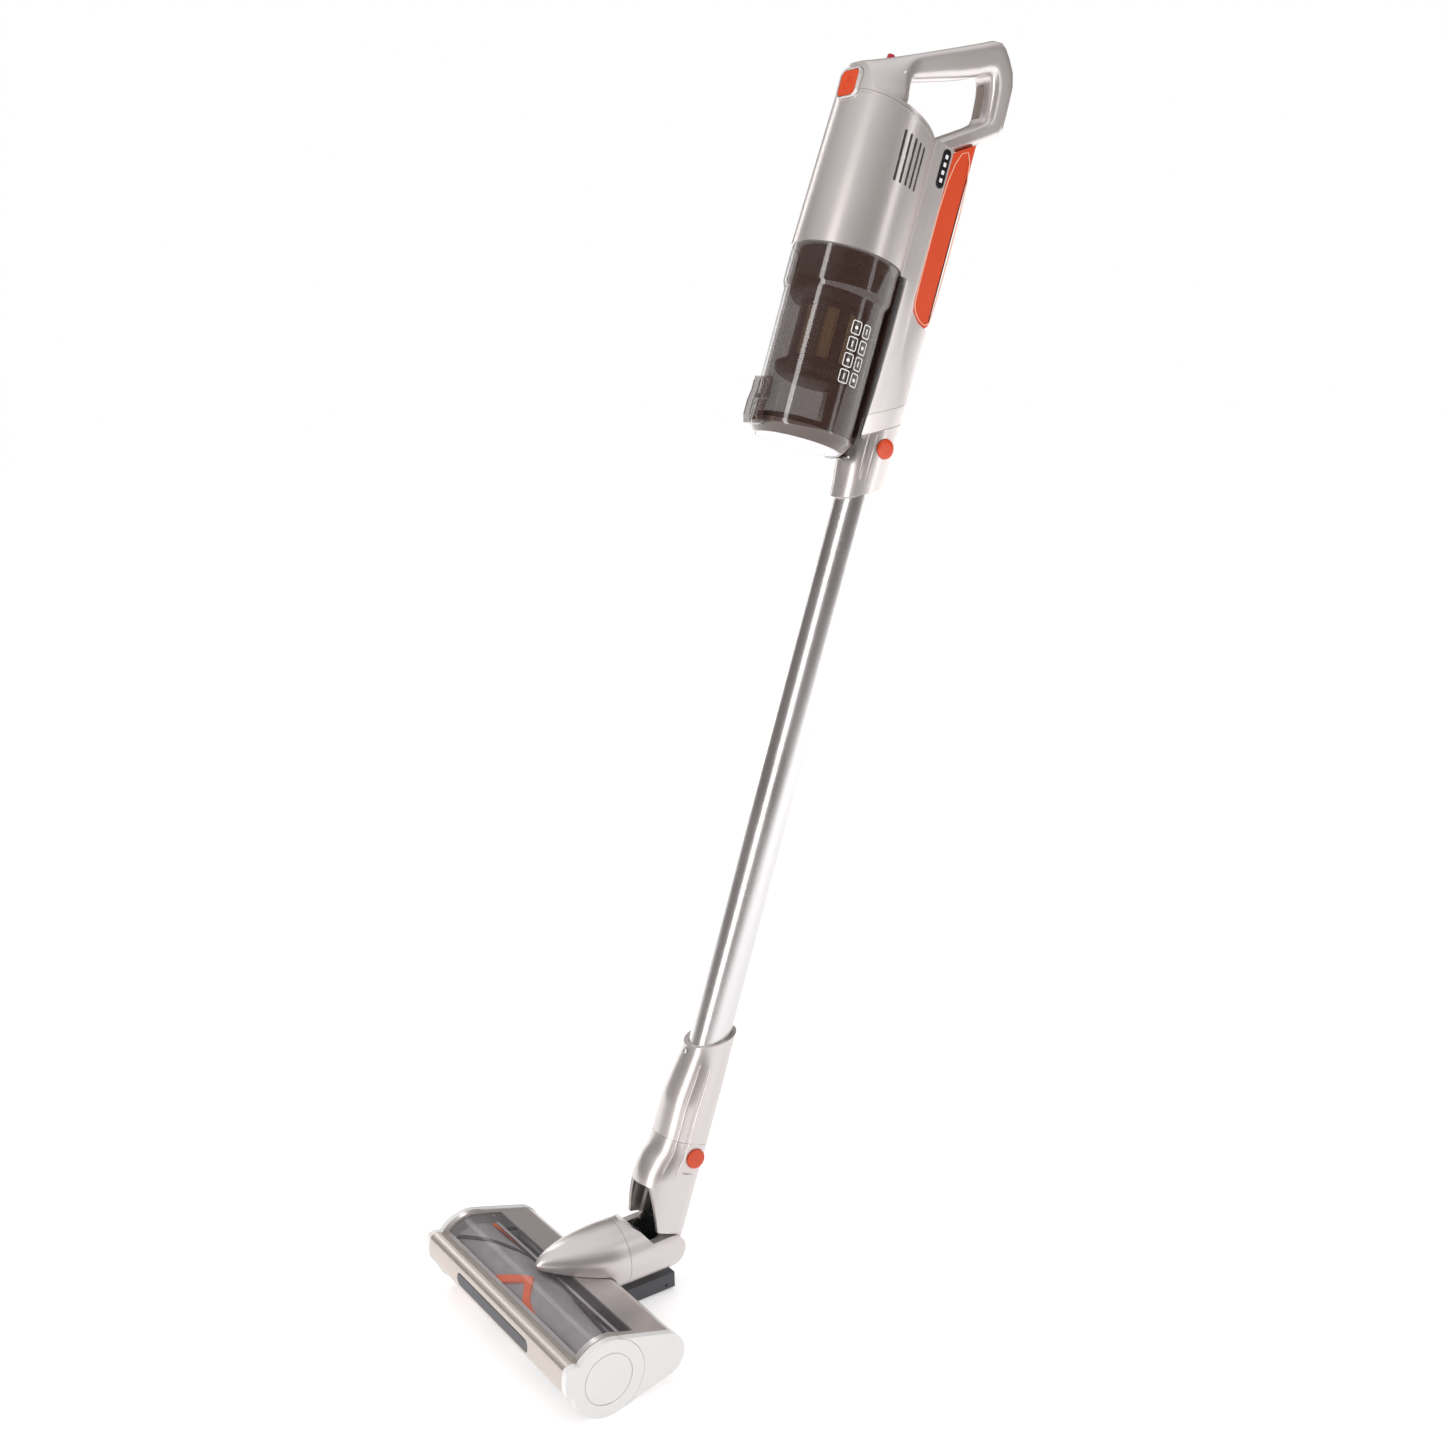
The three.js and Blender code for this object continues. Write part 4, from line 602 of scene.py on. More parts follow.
def make_screw():
    head = turned([(0, -1.3), (2.6, -1.3), (2.8, -0.9), (2.8, -0.2), (2.4, 0.1), (0, 0.35)], count=48)
    cross = [block(-0.4, 0.4, -1.8, 1.8, -0.5, 1), block(-1.8, 1.8, -0.4, 0.4, -0.5, 1)]
    work = cut(head, *cross)
    work = join(work, cylinder("z", 1.6, -6, -1, (0, 0), 32))
    work.data.transform(Matrix.Translation((0, -23.3, SCREW_Z)) @ Matrix.Rotation(math.radians(90), 4, "X"))
    fine(work, WAND, "connector_screw", "steel", bevel=0.1)


def make_release(node, z):
    _, high = span(node, WAND)
    face = high[0]
    work = turned([(0, -6), (6.5, -6), (6.5, -2.6), (8.5, -2.6), (8.5, -1.1), (8.3, -0.8), (6.9, -0.35),
                   (4, -0.1), (0, 0)], count=96)
    work.data.transform(Matrix.Translation((face, 0, z)) @ Matrix.Rotation(math.radians(90), 4, "Y"))
    fine(work, WAND, node, "orange", bevel=0.25)


def make_upper_connector():
    seam = 722
    outer = loft([oval(*section) for section in (
        (21, 21, 0, 640), (21, 21, 0, 655), (21.6, 21.6, -0.2, 668), (22.6, 22.8, -0.6, 682),
        (23.4, 23.8, -1, 700), (23.4, 25, -2, 745))])
    bore = cylinder("z", TUBE_R + GAP, 600, tube_high[2] + GAP)
    duct = cylinder("z", DUCT_R, 640, 780)
    recess = cylinder("x", BUTTON_SEAT_R, TUBE_R + 0.2, 60, (0, UPPER_BUTTON_Z), 64)
    ends = half_space(666, MOUTH_SLOPE, -1), half_space(seam, MOUTH_SLOPE, 1)
    work = cut(outer, *ends, bore, duct, recess, plate_room())
    upper = [(21, 21, 0, 650), (22.6, 22.8, -0.6, 682), (23.4, 23.8, -1, 700), (23.4, 25, -2, 745)]
    for angle in (math.radians(-38), math.radians(-22)):
        work = cut(work, flute(upper, angle, 668, 714, 0.8, 2.0))
    fine(work, WAND, "upper_connector", "champagne_silver", bevel=0.5)


make_wand_tube()
make_lower_connector()
make_lower_collar()
make_screw()
make_release("lower_release_button", LOWER_BUTTON_Z)
make_release("upper_release_button", UPPER_BUTTON_Z)
make_upper_connector()


# ---------------------------------------------------------------- spine, battery and indicator
HOUSING_R = 47
HOUSING_TOP = 969.5
HOUSING_TAPER = 4.5
LENS_Y, LENS_Z = -19, 939


def housing_body(grow, low, high):
    rings = []
    for z in (low, high):
        lean = HOUSING_TAPER * (z - HOUSING_LOW) / (HOUSING_TOP - HOUSING_LOW)
        rings.append(oval(HOUSING_R + grow - lean / 3, HOUSING_R + grow - lean / 2, CUP_Y + lean / 2, z, 160))
    return loft(rings)


def spine_ring(z, half):
    """A level ring from the [x, y] points of its right half, with its corners rounded off."""
    outline = [(x, y) for x, y in half] + [(-x, y) for x, y in reversed(half)]
    eased = smooth_corners(outline, 3, closed=True)
    return [(x, y, z) for x, y in eased]


def spine_body():
    corner = (25, -23)
    rest = [(25, -12.5), (21.2, -10), (20.8, 12), (15.8, 17)]
    rings = [
        (690, [(18, -31.2), (21.5, -22), (23, -6), (22.5, 5), (17.5, 15), (8, 21.5)]),
        (742, [(25, -31.2), (23, -22), (23.2, -6), (22.5, 5), (18, 15), (9, 21)]),
        (790, [(27.5, -31.2), (24, -22), (24, -11), (22, -8), (20, 12.5), (13, 18)]),
        (818, [(28, -31.2), corner, *rest]),
        (HOUSING_LOW, [(28, -31.2), corner, *rest]),
        (HOUSING_LOW + 0.5, [(28, -42), corner, *rest]),
        (958, [(25, -42), corner, *rest]),
    ]
    return loft([spine_ring(z, half) for z, half in rings])


def battery_outline(gap):
    rear = 17 + 20 * gap
    front = -11 - gap
    low = 812 - 1.5 * gap
    top = [(y, 955.5 + gap + 0.71 * (y + 11)) for y in (front, rear)]
    rear_low = low if gap > 0 else 818
    return [*top, (rear, rear_low), (10, low), (1, low + 2), (front + 3, 821 - gap), (front, 832)]


def battery_body(gap):
    wide = 20.8 + 20 * gap
    outer = prism(battery_outline(gap), -wide, wide)
    corners = [(wide, -40), (wide, 12), (wide - 5, 17 + 60 * gap)]
    if gap == 0:
        outer = keep(outer, loft([spine_ring(z, corners) for z in (700, 1000)]))
    half = 18 + gap
    return join(outer, block(-half, half, -21.8 - gap, 5, 817 - gap, 950 + gap))


def make_spine():
    seam = half_space(739.8, MOUTH_SLOPE, -1)
    housing = housing_body(GAP, HOUSING_LOW - 2, 1100)
    duct = cylinder("z", DUCT_R, 700, 780)
    lens = prism(rounded(LENS_Y, LENS_Z, 4.6, 16.8, 4.5), 23.2, 40)
    work = cut(spine_body(), seam, duct, inlet_port(), plate_room(), housing, battery_body(GAP), lens)
    fine(work, WAND, "spine_shell", "champagne_silver", bevel=0.5)


def make_inlet_collar():
    low = half_space(722.3, MOUTH_SLOPE, -1)
    high = half_space(739.5, MOUTH_SLOPE, 1)
    duct = cylinder("z", DUCT_R, 680, 800)
    work = cut(spine_body(), low, high, duct, plate_room())
    fine(work, WAND, "inlet_collar", "champagne_silver", bevel=0.4)


def make_battery():
    work = battery_body(0)
    bay = block(-19.2, 19.2, -5, 14.8, 819, 951)
    front = block(-15.5, 15.5, -24, 0, 819, 948.6)
    work = cut(work, bay, front)
    fine(work, WAND, "battery_case", "orange", bevel=0.6)
    corners = [(15.2, 969.5), (15.2, 819), (9.6, 813.8), (1.6, 815.6), (-6.6, 822), (-9.4, 832.5),
               (-9.4, 955)]
    middle = 890
    inner = [(y * 0.91 + 0.3, middle + (z - middle) * 0.991) for y, z in corners]
    # The thin peach bands on each side face of the battery are a painted highlight along its edges
    for side, name in ((-1, "left"), (1, "right")):
        rim = prism(smooth_corners(corners, 2, closed=True), *sorted((side * 20.6, side * 20.92)))
        rim = cut(rim, prism(smooth_corners(inner, 2, closed=True), -30, 30))
        piece_of(rim, f"battery_edge_highlight_{name}", WAND, (), "orange", "peach_edge_highlight", bevel=0, body="battery")


def make_indicator():
    low, high = span("charge_indicator", WAND)
    work = prism(rounded(LENS_Y, LENS_Z, 4.3, 16.4, 4.2, 12), low[0], high[0])
    fine(work, WAND, "charge_indicator", "indicator_black", bevel=0.35)
    pitch = 6.6
    for k in range(4):
        z = LENS_Z + (k - 1.5) * pitch
        light = prism(rounded(LENS_Y, z, 1.5, 1.7, 0.3, 4), high[0] - 0.3, high[0] + 0.12)
        piece_of(light, f"indicator_light_{k + 1}", WAND, (), "indicator_black", "indicator_light",
                 bevel=0.06, body="wand")


def make_back_plate():
    low, high = 704.7, 838.2
    outer = cylinder("z", PLATE_R + PLATE_THICK, low, high, (0, CUP_Y))
    inner = cylinder("z", PLATE_R, 600, 900, (0, CUP_Y))
    work = keep(block(-28, 28, PLATE_FRONT, 0, low, high), outer)
    work = cut(work, inner, inlet_port())
    fine(work, WAND, "cup_back_plate", "black_plastic", bevel=0.4)


make_spine()
make_inlet_collar()
make_battery()
make_indicator()
make_back_plate()


# ---------------------------------------------------------------- motor housing, button and handle
BUTTON_Z = 973
BUTTON_FRONT = -116.9
BOOST_Y = -83
RIM_SLOPE = -0.27


def rim_plane(gap, side):
    """The slanted plane where the housing ends and the handle's roof begins."""
    return half_space(HOUSING_TOP + gap, RIM_SLOPE, side, CUP_Y - HOUSING_R)


def button_pocket(gap):
    half = 12.5 + gap
    return prism(rounded(0, BUTTON_Z, half, half, 6), BUTTON_FRONT - 20, BUTTON_FRONT + 7, "y")


def make_motor_housing():
    work = cut(housing_body(0, HOUSING_LOW + GAP, 1000), housing_body(-2.4, HOUSING_LOW - 5, 1010),
               rim_plane(0, 1))
    vent_low, vent_y, vent_pitch = 902, -82, 5.75
    for i in range(5):
        half = (42 - i * 1.3) / 2
        work = cut(work, prism(rounded(vent_y + i * vent_pitch, vent_low + half, 1.2, half, 1.1, 4), -60, 60))
    work = cut(work, button_pocket(GAP))
    seam = cut(housing_body(2, HOUSING_TOP - 60, 1010), housing_body(-0.45, HOUSING_TOP - 70, 1020),
               rim_plane(-2.6, -1), rim_plane(-1.9, 1))
    work = cut(work, seam)
    fine(work, WAND, "motor_housing", "champagne_silver", bevel=0.3)


def make_power_button():
    face = BUTTON_FRONT - 1.5
    frame_ring = prism(rounded(0, BUTTON_Z, 12.5, 12.5, 6), face, face + 8, "y")
    hole = prism(rounded(0, BUTTON_Z, 11, 11, 5), face - 5, face + 12, "y")
    fine(cut(frame_ring, hole), WAND, "power_bezel", "champagne_silver", "pale_trim", bevel=0.5)
    face = BUTTON_FRONT - 1
    keycap = prism(rounded(0, BUTTON_Z, 10.5, 10.5, 4.6), face, face + 5, "y")
    ring = cut(cylinder("y", 5.4, face - 2, face + 0.35, (0, BUTTON_Z - 0.6), 64),
               cylinder("y", 4.2, face - 3, face + 2, (0, BUTTON_Z - 0.6), 64),
               block(-1.7, 1.7, face - 5, face + 5, BUTTON_Z, BUTTON_Z + 9))
    stroke = block(-0.6, 0.6, face - 2, face + 0.35, BUTTON_Z - 0.5, BUTTON_Z + 6.2)
    keycap = join(cut(keycap, ring, stroke), cylinder("y", 3, face + 4, face + 8, (0, BUTTON_Z), 32))
    fine(keycap, WAND, "power_button", "orange", bevel=0.35)


GRIP = 14
# Rings round the handle: outer y and z, facing inner y and z, half width outside and inside
GRIP_RINGS = [
    (-118.5, 988.5, -118, 966, 10, 22), (-115.5, 991.5, -111, 962, 13, 28), (-104, 997.5, -96, 957, GRIP, 36),
    (-92, 1004, -84, 956, GRIP, 38), (-80, 1010.8, -75, 962, GRIP, 34), (-72, 1015.4, -71, 978, GRIP, 22),
    (-66, 1018.8, -68, 993, GRIP, 15), (-57, 1024, -59, 999, GRIP, GRIP), (-3, 1056, -6, 1023.5, GRIP, GRIP),
    (17, 1068.5, 13, 1036, GRIP, GRIP), (28, 1063.5, 19, 1036.5, GRIP, GRIP),
    (44, 1045, 22.5, 1026, GRIP, GRIP), (45.2, 1019, 24, 1013, GRIP, GRIP),
    (45.8, 996.5, 25, 1001.5, GRIP, GRIP), (35, 987.5, 19, 995, GRIP, GRIP),
    (16.7, 974, 5, 984.5, GRIP, GRIP), (-3, 960, -12, 972, 15, 15), (-18, 951, -26, 961, 16, 16),
]


def grip_loop():
    rings = []
    for ring in smooth_corners(GRIP_RINGS, 1):
        outer, inner = ring[0:2], ring[2:4]
        centre, reach = (outer + inner) / 2, (outer - inner) / 2
        points = []
        for k in range(48):
            angle = TURN * (k + 0.5) / 48
            c, s = math.cos(angle), math.sin(angle)
            across = math.copysign(abs(c) ** 0.5, c)
            along = math.copysign(abs(s) ** 0.5, s)
            half = (ring[4] + ring[5]) / 2 + along * (ring[4] - ring[5]) / 2
            points.append((half * across, centre[0] + reach[0] * along, centre[1] + reach[1] * along))
        rings.append(points)
    return loft(rings)


def trim_space(gap):
    """The pocket for the pale trim on the back of the handle."""
    return block(-8 - gap, 8 + gap, 42.6 - gap, 60, 1002 - gap, 1041 + gap)


def strip_space(gap):
    """The pocket for the dark strip inside the grip."""
    return block(-10 - gap, gap, 10, 26.5 + gap, 1004 - gap, 1031 + gap)


def make_handle():
    roof = cut(housing_body(0, 880, 1010), rim_plane(3, 1))
    front = block(-60, 60, -140, -80, 900, 1100)
    whole = join(roof, cut(grip_loop(), front), keep(grip_loop(), housing_body(-0.05, 880, 1100)))
    spine_top = block(-60, 60, -36, 40, 900, 958 + GAP)
    boost_hole = cylinder("z", 3.45, 1002, 1100, (0, BOOST_Y), 48)
    stem_room = cylinder("y", 3.5, BUTTON_FRONT, BUTTON_FRONT + 12, (0, BUTTON_Z), 48)
    work = cut(whole, rim_plane(GAP, -1), spine_top, battery_body(GAP), button_pocket(GAP), trim_space(GAP),
               boost_hole, strip_space(GAP), stem_room)
    fine(work, WAND, "handle_shell", "champagne_silver", bevel=0.4, angle=34)
    fine(keep(trim_space(0), grip_loop()), WAND, "handle_rear_trim", "pale_trim", bevel=0.3)
    fine(keep(strip_space(0), grip_loop()), WAND, "grip_inner_strip", "grip_brown", bevel=0.4)
    work = turned([(0, 1004.3), (3.2, 1004.3), (3.2, 1010.8), (2.6, 1011.5), (0, 1011.8)], BOOST_Y, 48)
    fine(work, WAND, "boost_button", "boost_red", bevel=0.3)


make_motor_housing()
make_power_button()
make_handle()


# ---------------------------------------------------------------- cup and filter
LID_TOP = 696.7
HINGE_Y, HINGE_Z = -29.2, 688
CUP_R, CUP_WALL = 43.3, 2
CUP_POINTS = 160  # points round the cup and what sits in its ends
FILTER_LOW, FILTER_HIGH = 750, 800
LATCH_Z = 712


def hinge_bore(radius, low, high, count=48):
    """A cylinder along the lid's hinge."""
    return cylinder("x", radius, low, high, (HINGE_Y, HINGE_Z), count)


def make_dust_cup():
    inner, top = CUP_R - CUP_WALL, HOUSING_LOW - GAP
    jar = turned([(inner, LID_TOP + GAP), (CUP_R, LID_TOP + GAP), (CUP_R, 806), (CUP_R + 0.6, 808),
                  (45.1, 811), (45.7, 813), (45.7, top), (43.7, top), (43.7, 814), (43.2, 811.5),
                  (inner + 0.5, 808.5), (inner, 806.5)], CUP_Y, CUP_POINTS)
    hollow = cylinder("z", CUP_R - 0.5, 600, 900, (0, CUP_Y), CUP_POINTS)
    back = PLATE_FRONT - GAP
    work = join(jar, cut(block(-29.5, 29.5, back - 2.4, back, LID_TOP + GAP, top - 2.6), hollow))
    for side in (-1, 1):
        x0, x1 = sorted((side * 9, side * 15))
        foot = cut(block(x0, x1, HINGE_Y - 6, HINGE_Y + 2.4, LID_TOP + GAP, LID_TOP + 7),
                   cylinder("z", CUP_R - 0.5, 600, 900, (0, CUP_Y), CUP_POINTS))
        work = join(work, foot, block(x0, x1, HINGE_Y - 2.4, HINGE_Y + 2.4, HINGE_Z, LID_TOP + 6),
                    hinge_bore(2.7, x0, x1))
    face = CUP_Y - CUP_R
    work = join(work, block(-9, 9, face - 3, face + 1, LATCH_Z - 2, LATCH_Z + 2))
    work = cut(work, inlet_port(), hinge_bore(1.5, -20, 20, 32))
    fine(work, WAND, "dust_cup", "smoked_clear", bevel=0.25, angle=50)


def make_filter():
    axis = Matrix.Translation((0, CUP_Y, 0))
    work = turned([(20, FILTER_HIGH), (34.5, FILTER_HIGH), (38.5, FILTER_HIGH + 5), (38.5, HOUSING_LOW),
                   (20, HOUSING_LOW)], CUP_Y)
    for i in range(8):
        notch = block(34.5, 42.5, -3.5, 3.5, 822.5, 831.5)
        notch.data.transform(axis @ Matrix.Rotation(TURN * (i + 0.5) / 8, 4, "Z"))
        work = cut(work, notch)
    fine(work, WAND, "filter_ring", "black_plastic", bevel=0.5)
    low, high = FILTER_LOW, FILTER_HIGH - GAP
    cage = turned([(24, low), (27, low), (27, high), (24, high)], CUP_Y)
    for i in range(8):
        pane = prism(rounded(0, (FILTER_LOW + FILTER_HIGH) / 2, 5.5, 21, 1.5, 4), 20, 34)
        pane.data.transform(axis @ Matrix.Rotation(TURN * i / 8 + math.radians(10), 4, "Z"))
        cage = cut(cage, pane)
    fine(cage, WAND, "filter_cage", "black_plastic", bevel=0.3)
    mesh = turned([(22.5, low), (23.7, low), (23.7, high), (22.5, high)], CUP_Y)
    fine(mesh, WAND, "filter_mesh", "golden_mesh", bevel=0.1)
    skirt = turned([(0, 736), (25, 736), (31, 738), (34, 741), (35, 745), (34.6, 747), (31, low - GAP),
                    (0, low - GAP)], CUP_Y)
    fine(skirt, WAND, "cyclone_skirt", "black_plastic", bevel=0.3)


def make_lid():
    low = LID_TOP - 11.5
    dish = turned([(0, low + 3.3), (36.1, low + 3.3), (36.1, low), (37.3, low), (38.6, low + 1),
                   (42.2, low + 6.5), (CUP_R, low + 8.5), (CUP_R, LID_TOP), (CUP_R - 4, LID_TOP),
                   (CUP_R - 5, low + 6.5), (0, low + 6.5)], CUP_Y, CUP_POINTS)
    tab = join(block(-8, 8, CUP_Y + CUP_R - 3, HINGE_Y, HINGE_Z - 2.5, HINGE_Z + 2.5), hinge_bore(2.9, -8, 8))
    tab = cut(tab, cylinder("z", CUP_R - 4.5, 600, 800, (0, CUP_Y)))
    work = cut(join(dish, tab), hinge_bore(1.5, -20, 20, 32))
    fine(work, WAND, "cup_lid", "smoked_dark", bevel=0.35)
    disc = cylinder("z", 35.8, low, low + 3, (0, CUP_Y), CUP_POINTS)
    fine(disc, WAND, "lid_disc", "lilac_disc", bevel=0.5)


def make_latch():
    face, z = CUP_Y - CUP_R, LATCH_Z
    plate = [(face - 4, z + 15), (face - 7.5, z + 15), (face - 7.5, z + 2), (face - 9, z - 6),
             (face - 9, z - 18), (face - 7, z - 24), (face - 1, z - 24), (face - 1, z - 22),
             (face - 5, z - 20.5), (face - 5, z - 4), (face - 3.6, z - 2.6), (face - 3.6, z + 2.6)]
    work = prism(plate, -11, 11)
    for x in (-8, 0, 8):
        rib = [(face - 7, z + 13), (face - 9, z + 11), (face - 9, z + 3), (face - 10.5, z - 6),
               (face - 10.5, z - 18), (face - 8, z - 22)]
        work = join(work, prism(rib, x - 1.3, x + 1.3))
    fine(work, WAND, "cup_latch", "smoked_clear", bevel=0.35)


def curved_print(name, cells, middle, height):
    """Marks of an outer and an inner [u, v] outline, wrapped onto the cup as raised rings.

    Middle is the angle about the cup of u = 0, and height the level of v = 0."""
    radius = CUP_R + 0.12
    verts, faces = [], []
    for cell in cells:
        for outer, inner in cell:
            count = len(outer)
            start = len(verts)
            for ring in (outer, inner):
                for depth in (0.0, 0.12):
                    for u, v in ring:
                        angle = middle + u / radius
                        r = radius - 0.1 + depth
                        verts.append((r * math.cos(angle), CUP_Y + r * math.sin(angle), height + v))
            o0, o1, i0, i1 = (start + k * count for k in range(4))
            for k in range(count):
                n = (k + 1) % count
                faces += [(o1 + k, o1 + n, i1 + n, i1 + k), (o0 + n, o0 + k, i0 + k, i0 + n),
                          (o0 + k, o0 + n, o1 + n, o1 + k), (i0 + n, i0 + k, i1 + k, i1 + n)]
    piece_of(raw(verts, faces), name, WAND, (), "smoked_clear", "print_white", bevel=0, body="cup")


def ring_mark(u, v, half_u, half_v, radius, line):
    """The outer and inner outline of a rounded frame with lines of one width."""
    return (rounded(u, v, half_u, half_v, radius, 5),
            rounded(u, v, half_u - line, half_v - line, max(radius - line, 0.05), 5))


def make_print():
    """Two columns of four frames, with a ring or a bar in each: plain marks that mean nothing."""
    cells = []
    across, down = 11.4, 13.4
    for row in range(4):
        for column in range(2):
            u, v = (column - 0.5) * across, -(row - 1.5) * down
            marks = [ring_mark(u, v, 4.6 if column == 0 else 4.1, 5.6, 1.8, 0.8)]
            if (row + column) % 2 == 0:
                marks.append(ring_mark(u, v, 1.5, 1.5, 1.4, 1.3))
            else:
                marks.append(ring_mark(u, v, 0.6, 2.4, 0.4, 0.5))
            cells.append(marks)
    curved_print("cup_marks", cells, math.radians(2), 762)


make_dust_cup()
make_filter()
make_lid()
make_latch()
make_print()


# ---------------------------------------------------------------- floor head
HEAD_HALF, CAP_R, SHELL_R = 123, 32, 31.4
BRUSH_Y, LOBE_Y, LOBE_Z, LOBE_R = -123, -72, 31, 18.6
SHELL_HALF = 116.7
PIVOT_HEIGHT, SEAM_Y, NECK_R = 52, -43, 28.5
WINDOW_HALF, WINDOW_LOW, WINDOW_REAR = 111, 53.5, -93
CAP_THICK = 6
BUMPER_SIDE = [(-161, 32), (-160.6, 48), (-158, 54), (-146, 54), (-146, 30), (-156, 27.5)]
BUMPER_STRIP_Z = 41
# Paths round the roller, as x and an angle in turns
CHEVRON = [(-101, 0.62), (-49, 0.46), (-19, 0.36), (4, 0.27), (25, 0.365), (47, 0.405), (88, 0.43),
           (108, 0.46)]
BRISTLES = [(-101, 0.36), (-48, 0.20), (3.5, 0.02), (47, 0.15), (108, 0.20)]


def brush_axis(radius, low, high, count=FINE):
    """A cylinder along the brush."""
    return cylinder("x", radius, low, high, (BRUSH_Y, CAP_R), count)


def head_outline(big, small, steps=48):
    """The head from the side: a big circle in front and a small one behind, with a band round both."""
    along, rise = LOBE_Y - BRUSH_Y, LOBE_Z - CAP_R
    tilt = math.atan2(rise, along)
    spread = math.acos((big - small) / math.hypot(along, rise))
    points = []
    for centre, radius, start, end in (((BRUSH_Y, CAP_R), big, tilt + spread, tilt - spread + TURN),
                                       ((LOBE_Y, LOBE_Z), small, tilt - spread, tilt + spread)):
        for k in range(steps + 1):
            angle = start + (end - start) * k / steps
            points.append((centre[0] + radius * math.cos(angle), centre[1] + radius * math.sin(angle)))
    return points


def head_side(big, small, low, high):
    return prism(head_outline(big, small), low, high)


# The bullet nose as y, radius and rise of its middle
NOSE = [(SEAM_Y, NECK_R, 0), (-52, 28.4, 0.4), (-62, 27.4, 1.2), (-73, 25.3, 2.8), (-84, 22, 5),
        (-94, 18, 7.6), (-103, 13.4, 10.2), (-110, 9, 12.2), (-115, 5, 13.6), (-117.6, 1.8, 14.3)]


def nose(inset):
    rings, count = [], 96
    for y, r, rise in smooth_corners(NOSE, 2):
        radius = max(r - inset, 0.8)
        ring = []
        for k in range(count):
            angle = TURN * k / count
            ring.append((radius * math.cos(angle), y, PIVOT_HEIGHT + rise + radius * math.sin(angle)))
        rings.append(ring)
    return loft(rings)


def sleeve_space():
    return cylinder("y", 25.6, SEAM_Y - 13, SEAM_Y + 5, (0, PIVOT_HEIGHT))


def make_nose():
    airway = keep(nose(2.6), block(-40, 40, -112, SEAM_Y - 13, 0, 100))
    work = cut(nose(0), airway, sleeve_space(), head_side(SHELL_R + GAP, LOBE_R, -100, 100))
    fine(work, HEAD, "neck_nose", "champagne_silver", bevel=0.4)


def make_window():
    outer = head_side(SHELL_R, LOBE_R - 0.6, -WINDOW_HALF + GAP, WINDOW_HALF - GAP)
    inner = head_side(SHELL_R - 1.8, LOBE_R - 2.4, -130, 130)
    half = WINDOW_HALF - GAP
    opening = block(-half, half, -160, WINDOW_REAR - GAP, WINDOW_LOW + GAP, 100)
    work = cut(keep(cut(outer, inner), opening), nose(2.6))
    fine(work, HEAD, "head_window", "smoked_clear", "window_clear", bevel=0.2, angle=50)


def make_bumper():
    side = smooth_corners(BUMPER_SIDE, 2, closed=True)
    work = cut(prism(side, -SHELL_HALF, SHELL_HALF), brush_axis(SHELL_R + GAP, -200, 200),
               prism(rounded(0, BUMPER_STRIP_Z, 62.3, 5.8, 5.3), -170, -159.2, "y"))
    fine(work, HEAD, "front_bumper", "bronze_silver", bevel=0.6)
    strip = keep(prism(rounded(0, BUMPER_STRIP_Z, 62, 5.5, 5), -165, -159.5, "y"),
                 prism([(-161, 20), (-160.7, 60), (-150, 60), (-150, 20)], -90, 90))
    fine(strip, HEAD, "bumper_strip", "dark_grey_plastic", bevel=0.3)


def make_end(side):
    """The side cover and the round cap at one end; side is 1 at the right and -1 at the left."""
    name = "right" if side > 0 else "left"
    x0 = HEAD_HALF - CAP_THICK if side > 0 else -HEAD_HALF
    x1 = x0 + CAP_THICK
    lobe = cut(head_side(CAP_R, LOBE_R, x0, x1), brush_axis(CAP_R + GAP, -200, 200))
    fine(lobe, HEAD, f"side_cover_{name}", "end_cap_white", bevel=0.9, segments=4)
    face = side * HEAD_HALF
    lug = prism(smooth_corners(BUMPER_SIDE, 2, closed=True), x0, x1)
    work = join(brush_axis(CAP_R, x0, x1, 160), cut(lug, brush_axis(CAP_R - 2, -200, 200)))
    groove = cut(brush_axis(21.5, face - 0.9, face + 0.9), brush_axis(20.6, face - 2, face + 2))
    ends = sorted((side * 100, side * (HEAD_HALF - 3.5)))
    work = cut(work, groove, brush_axis(4.5, *ends, 48))
    fine(work, HEAD, f"end_cap_{name}", "end_cap_white", bevel=0.35, segments=3)


def roller_strip(name, look, path, half_width, height, steps=64):
    """A raised band along a path of (x, angle in turns) points on the roller."""
    path = [np.array(p, float) for p in path]
    rows = []
    for i in range(steps + 1):
        t = i / steps * (len(path) - 1)
        k = min(int(t), len(path) - 2)
        x, turn = path[k] * (1 - (t - k)) + path[k + 1] * (t - k)
        ring = []
        for across, r in ((-1, 26.4), (-0.8, 26.7 + height), (0.8, 26.7 + height), (1, 26.4)):
            angle = TURN * turn + across * half_width / 27
            ring.append((x, BRUSH_Y + r * math.cos(angle), CAP_R + r * math.sin(angle)))
        rows.append(ring)
    piece_of(loft(rows), name, HEAD, (), "brush_fluff", look, bevel=0, body="brush")


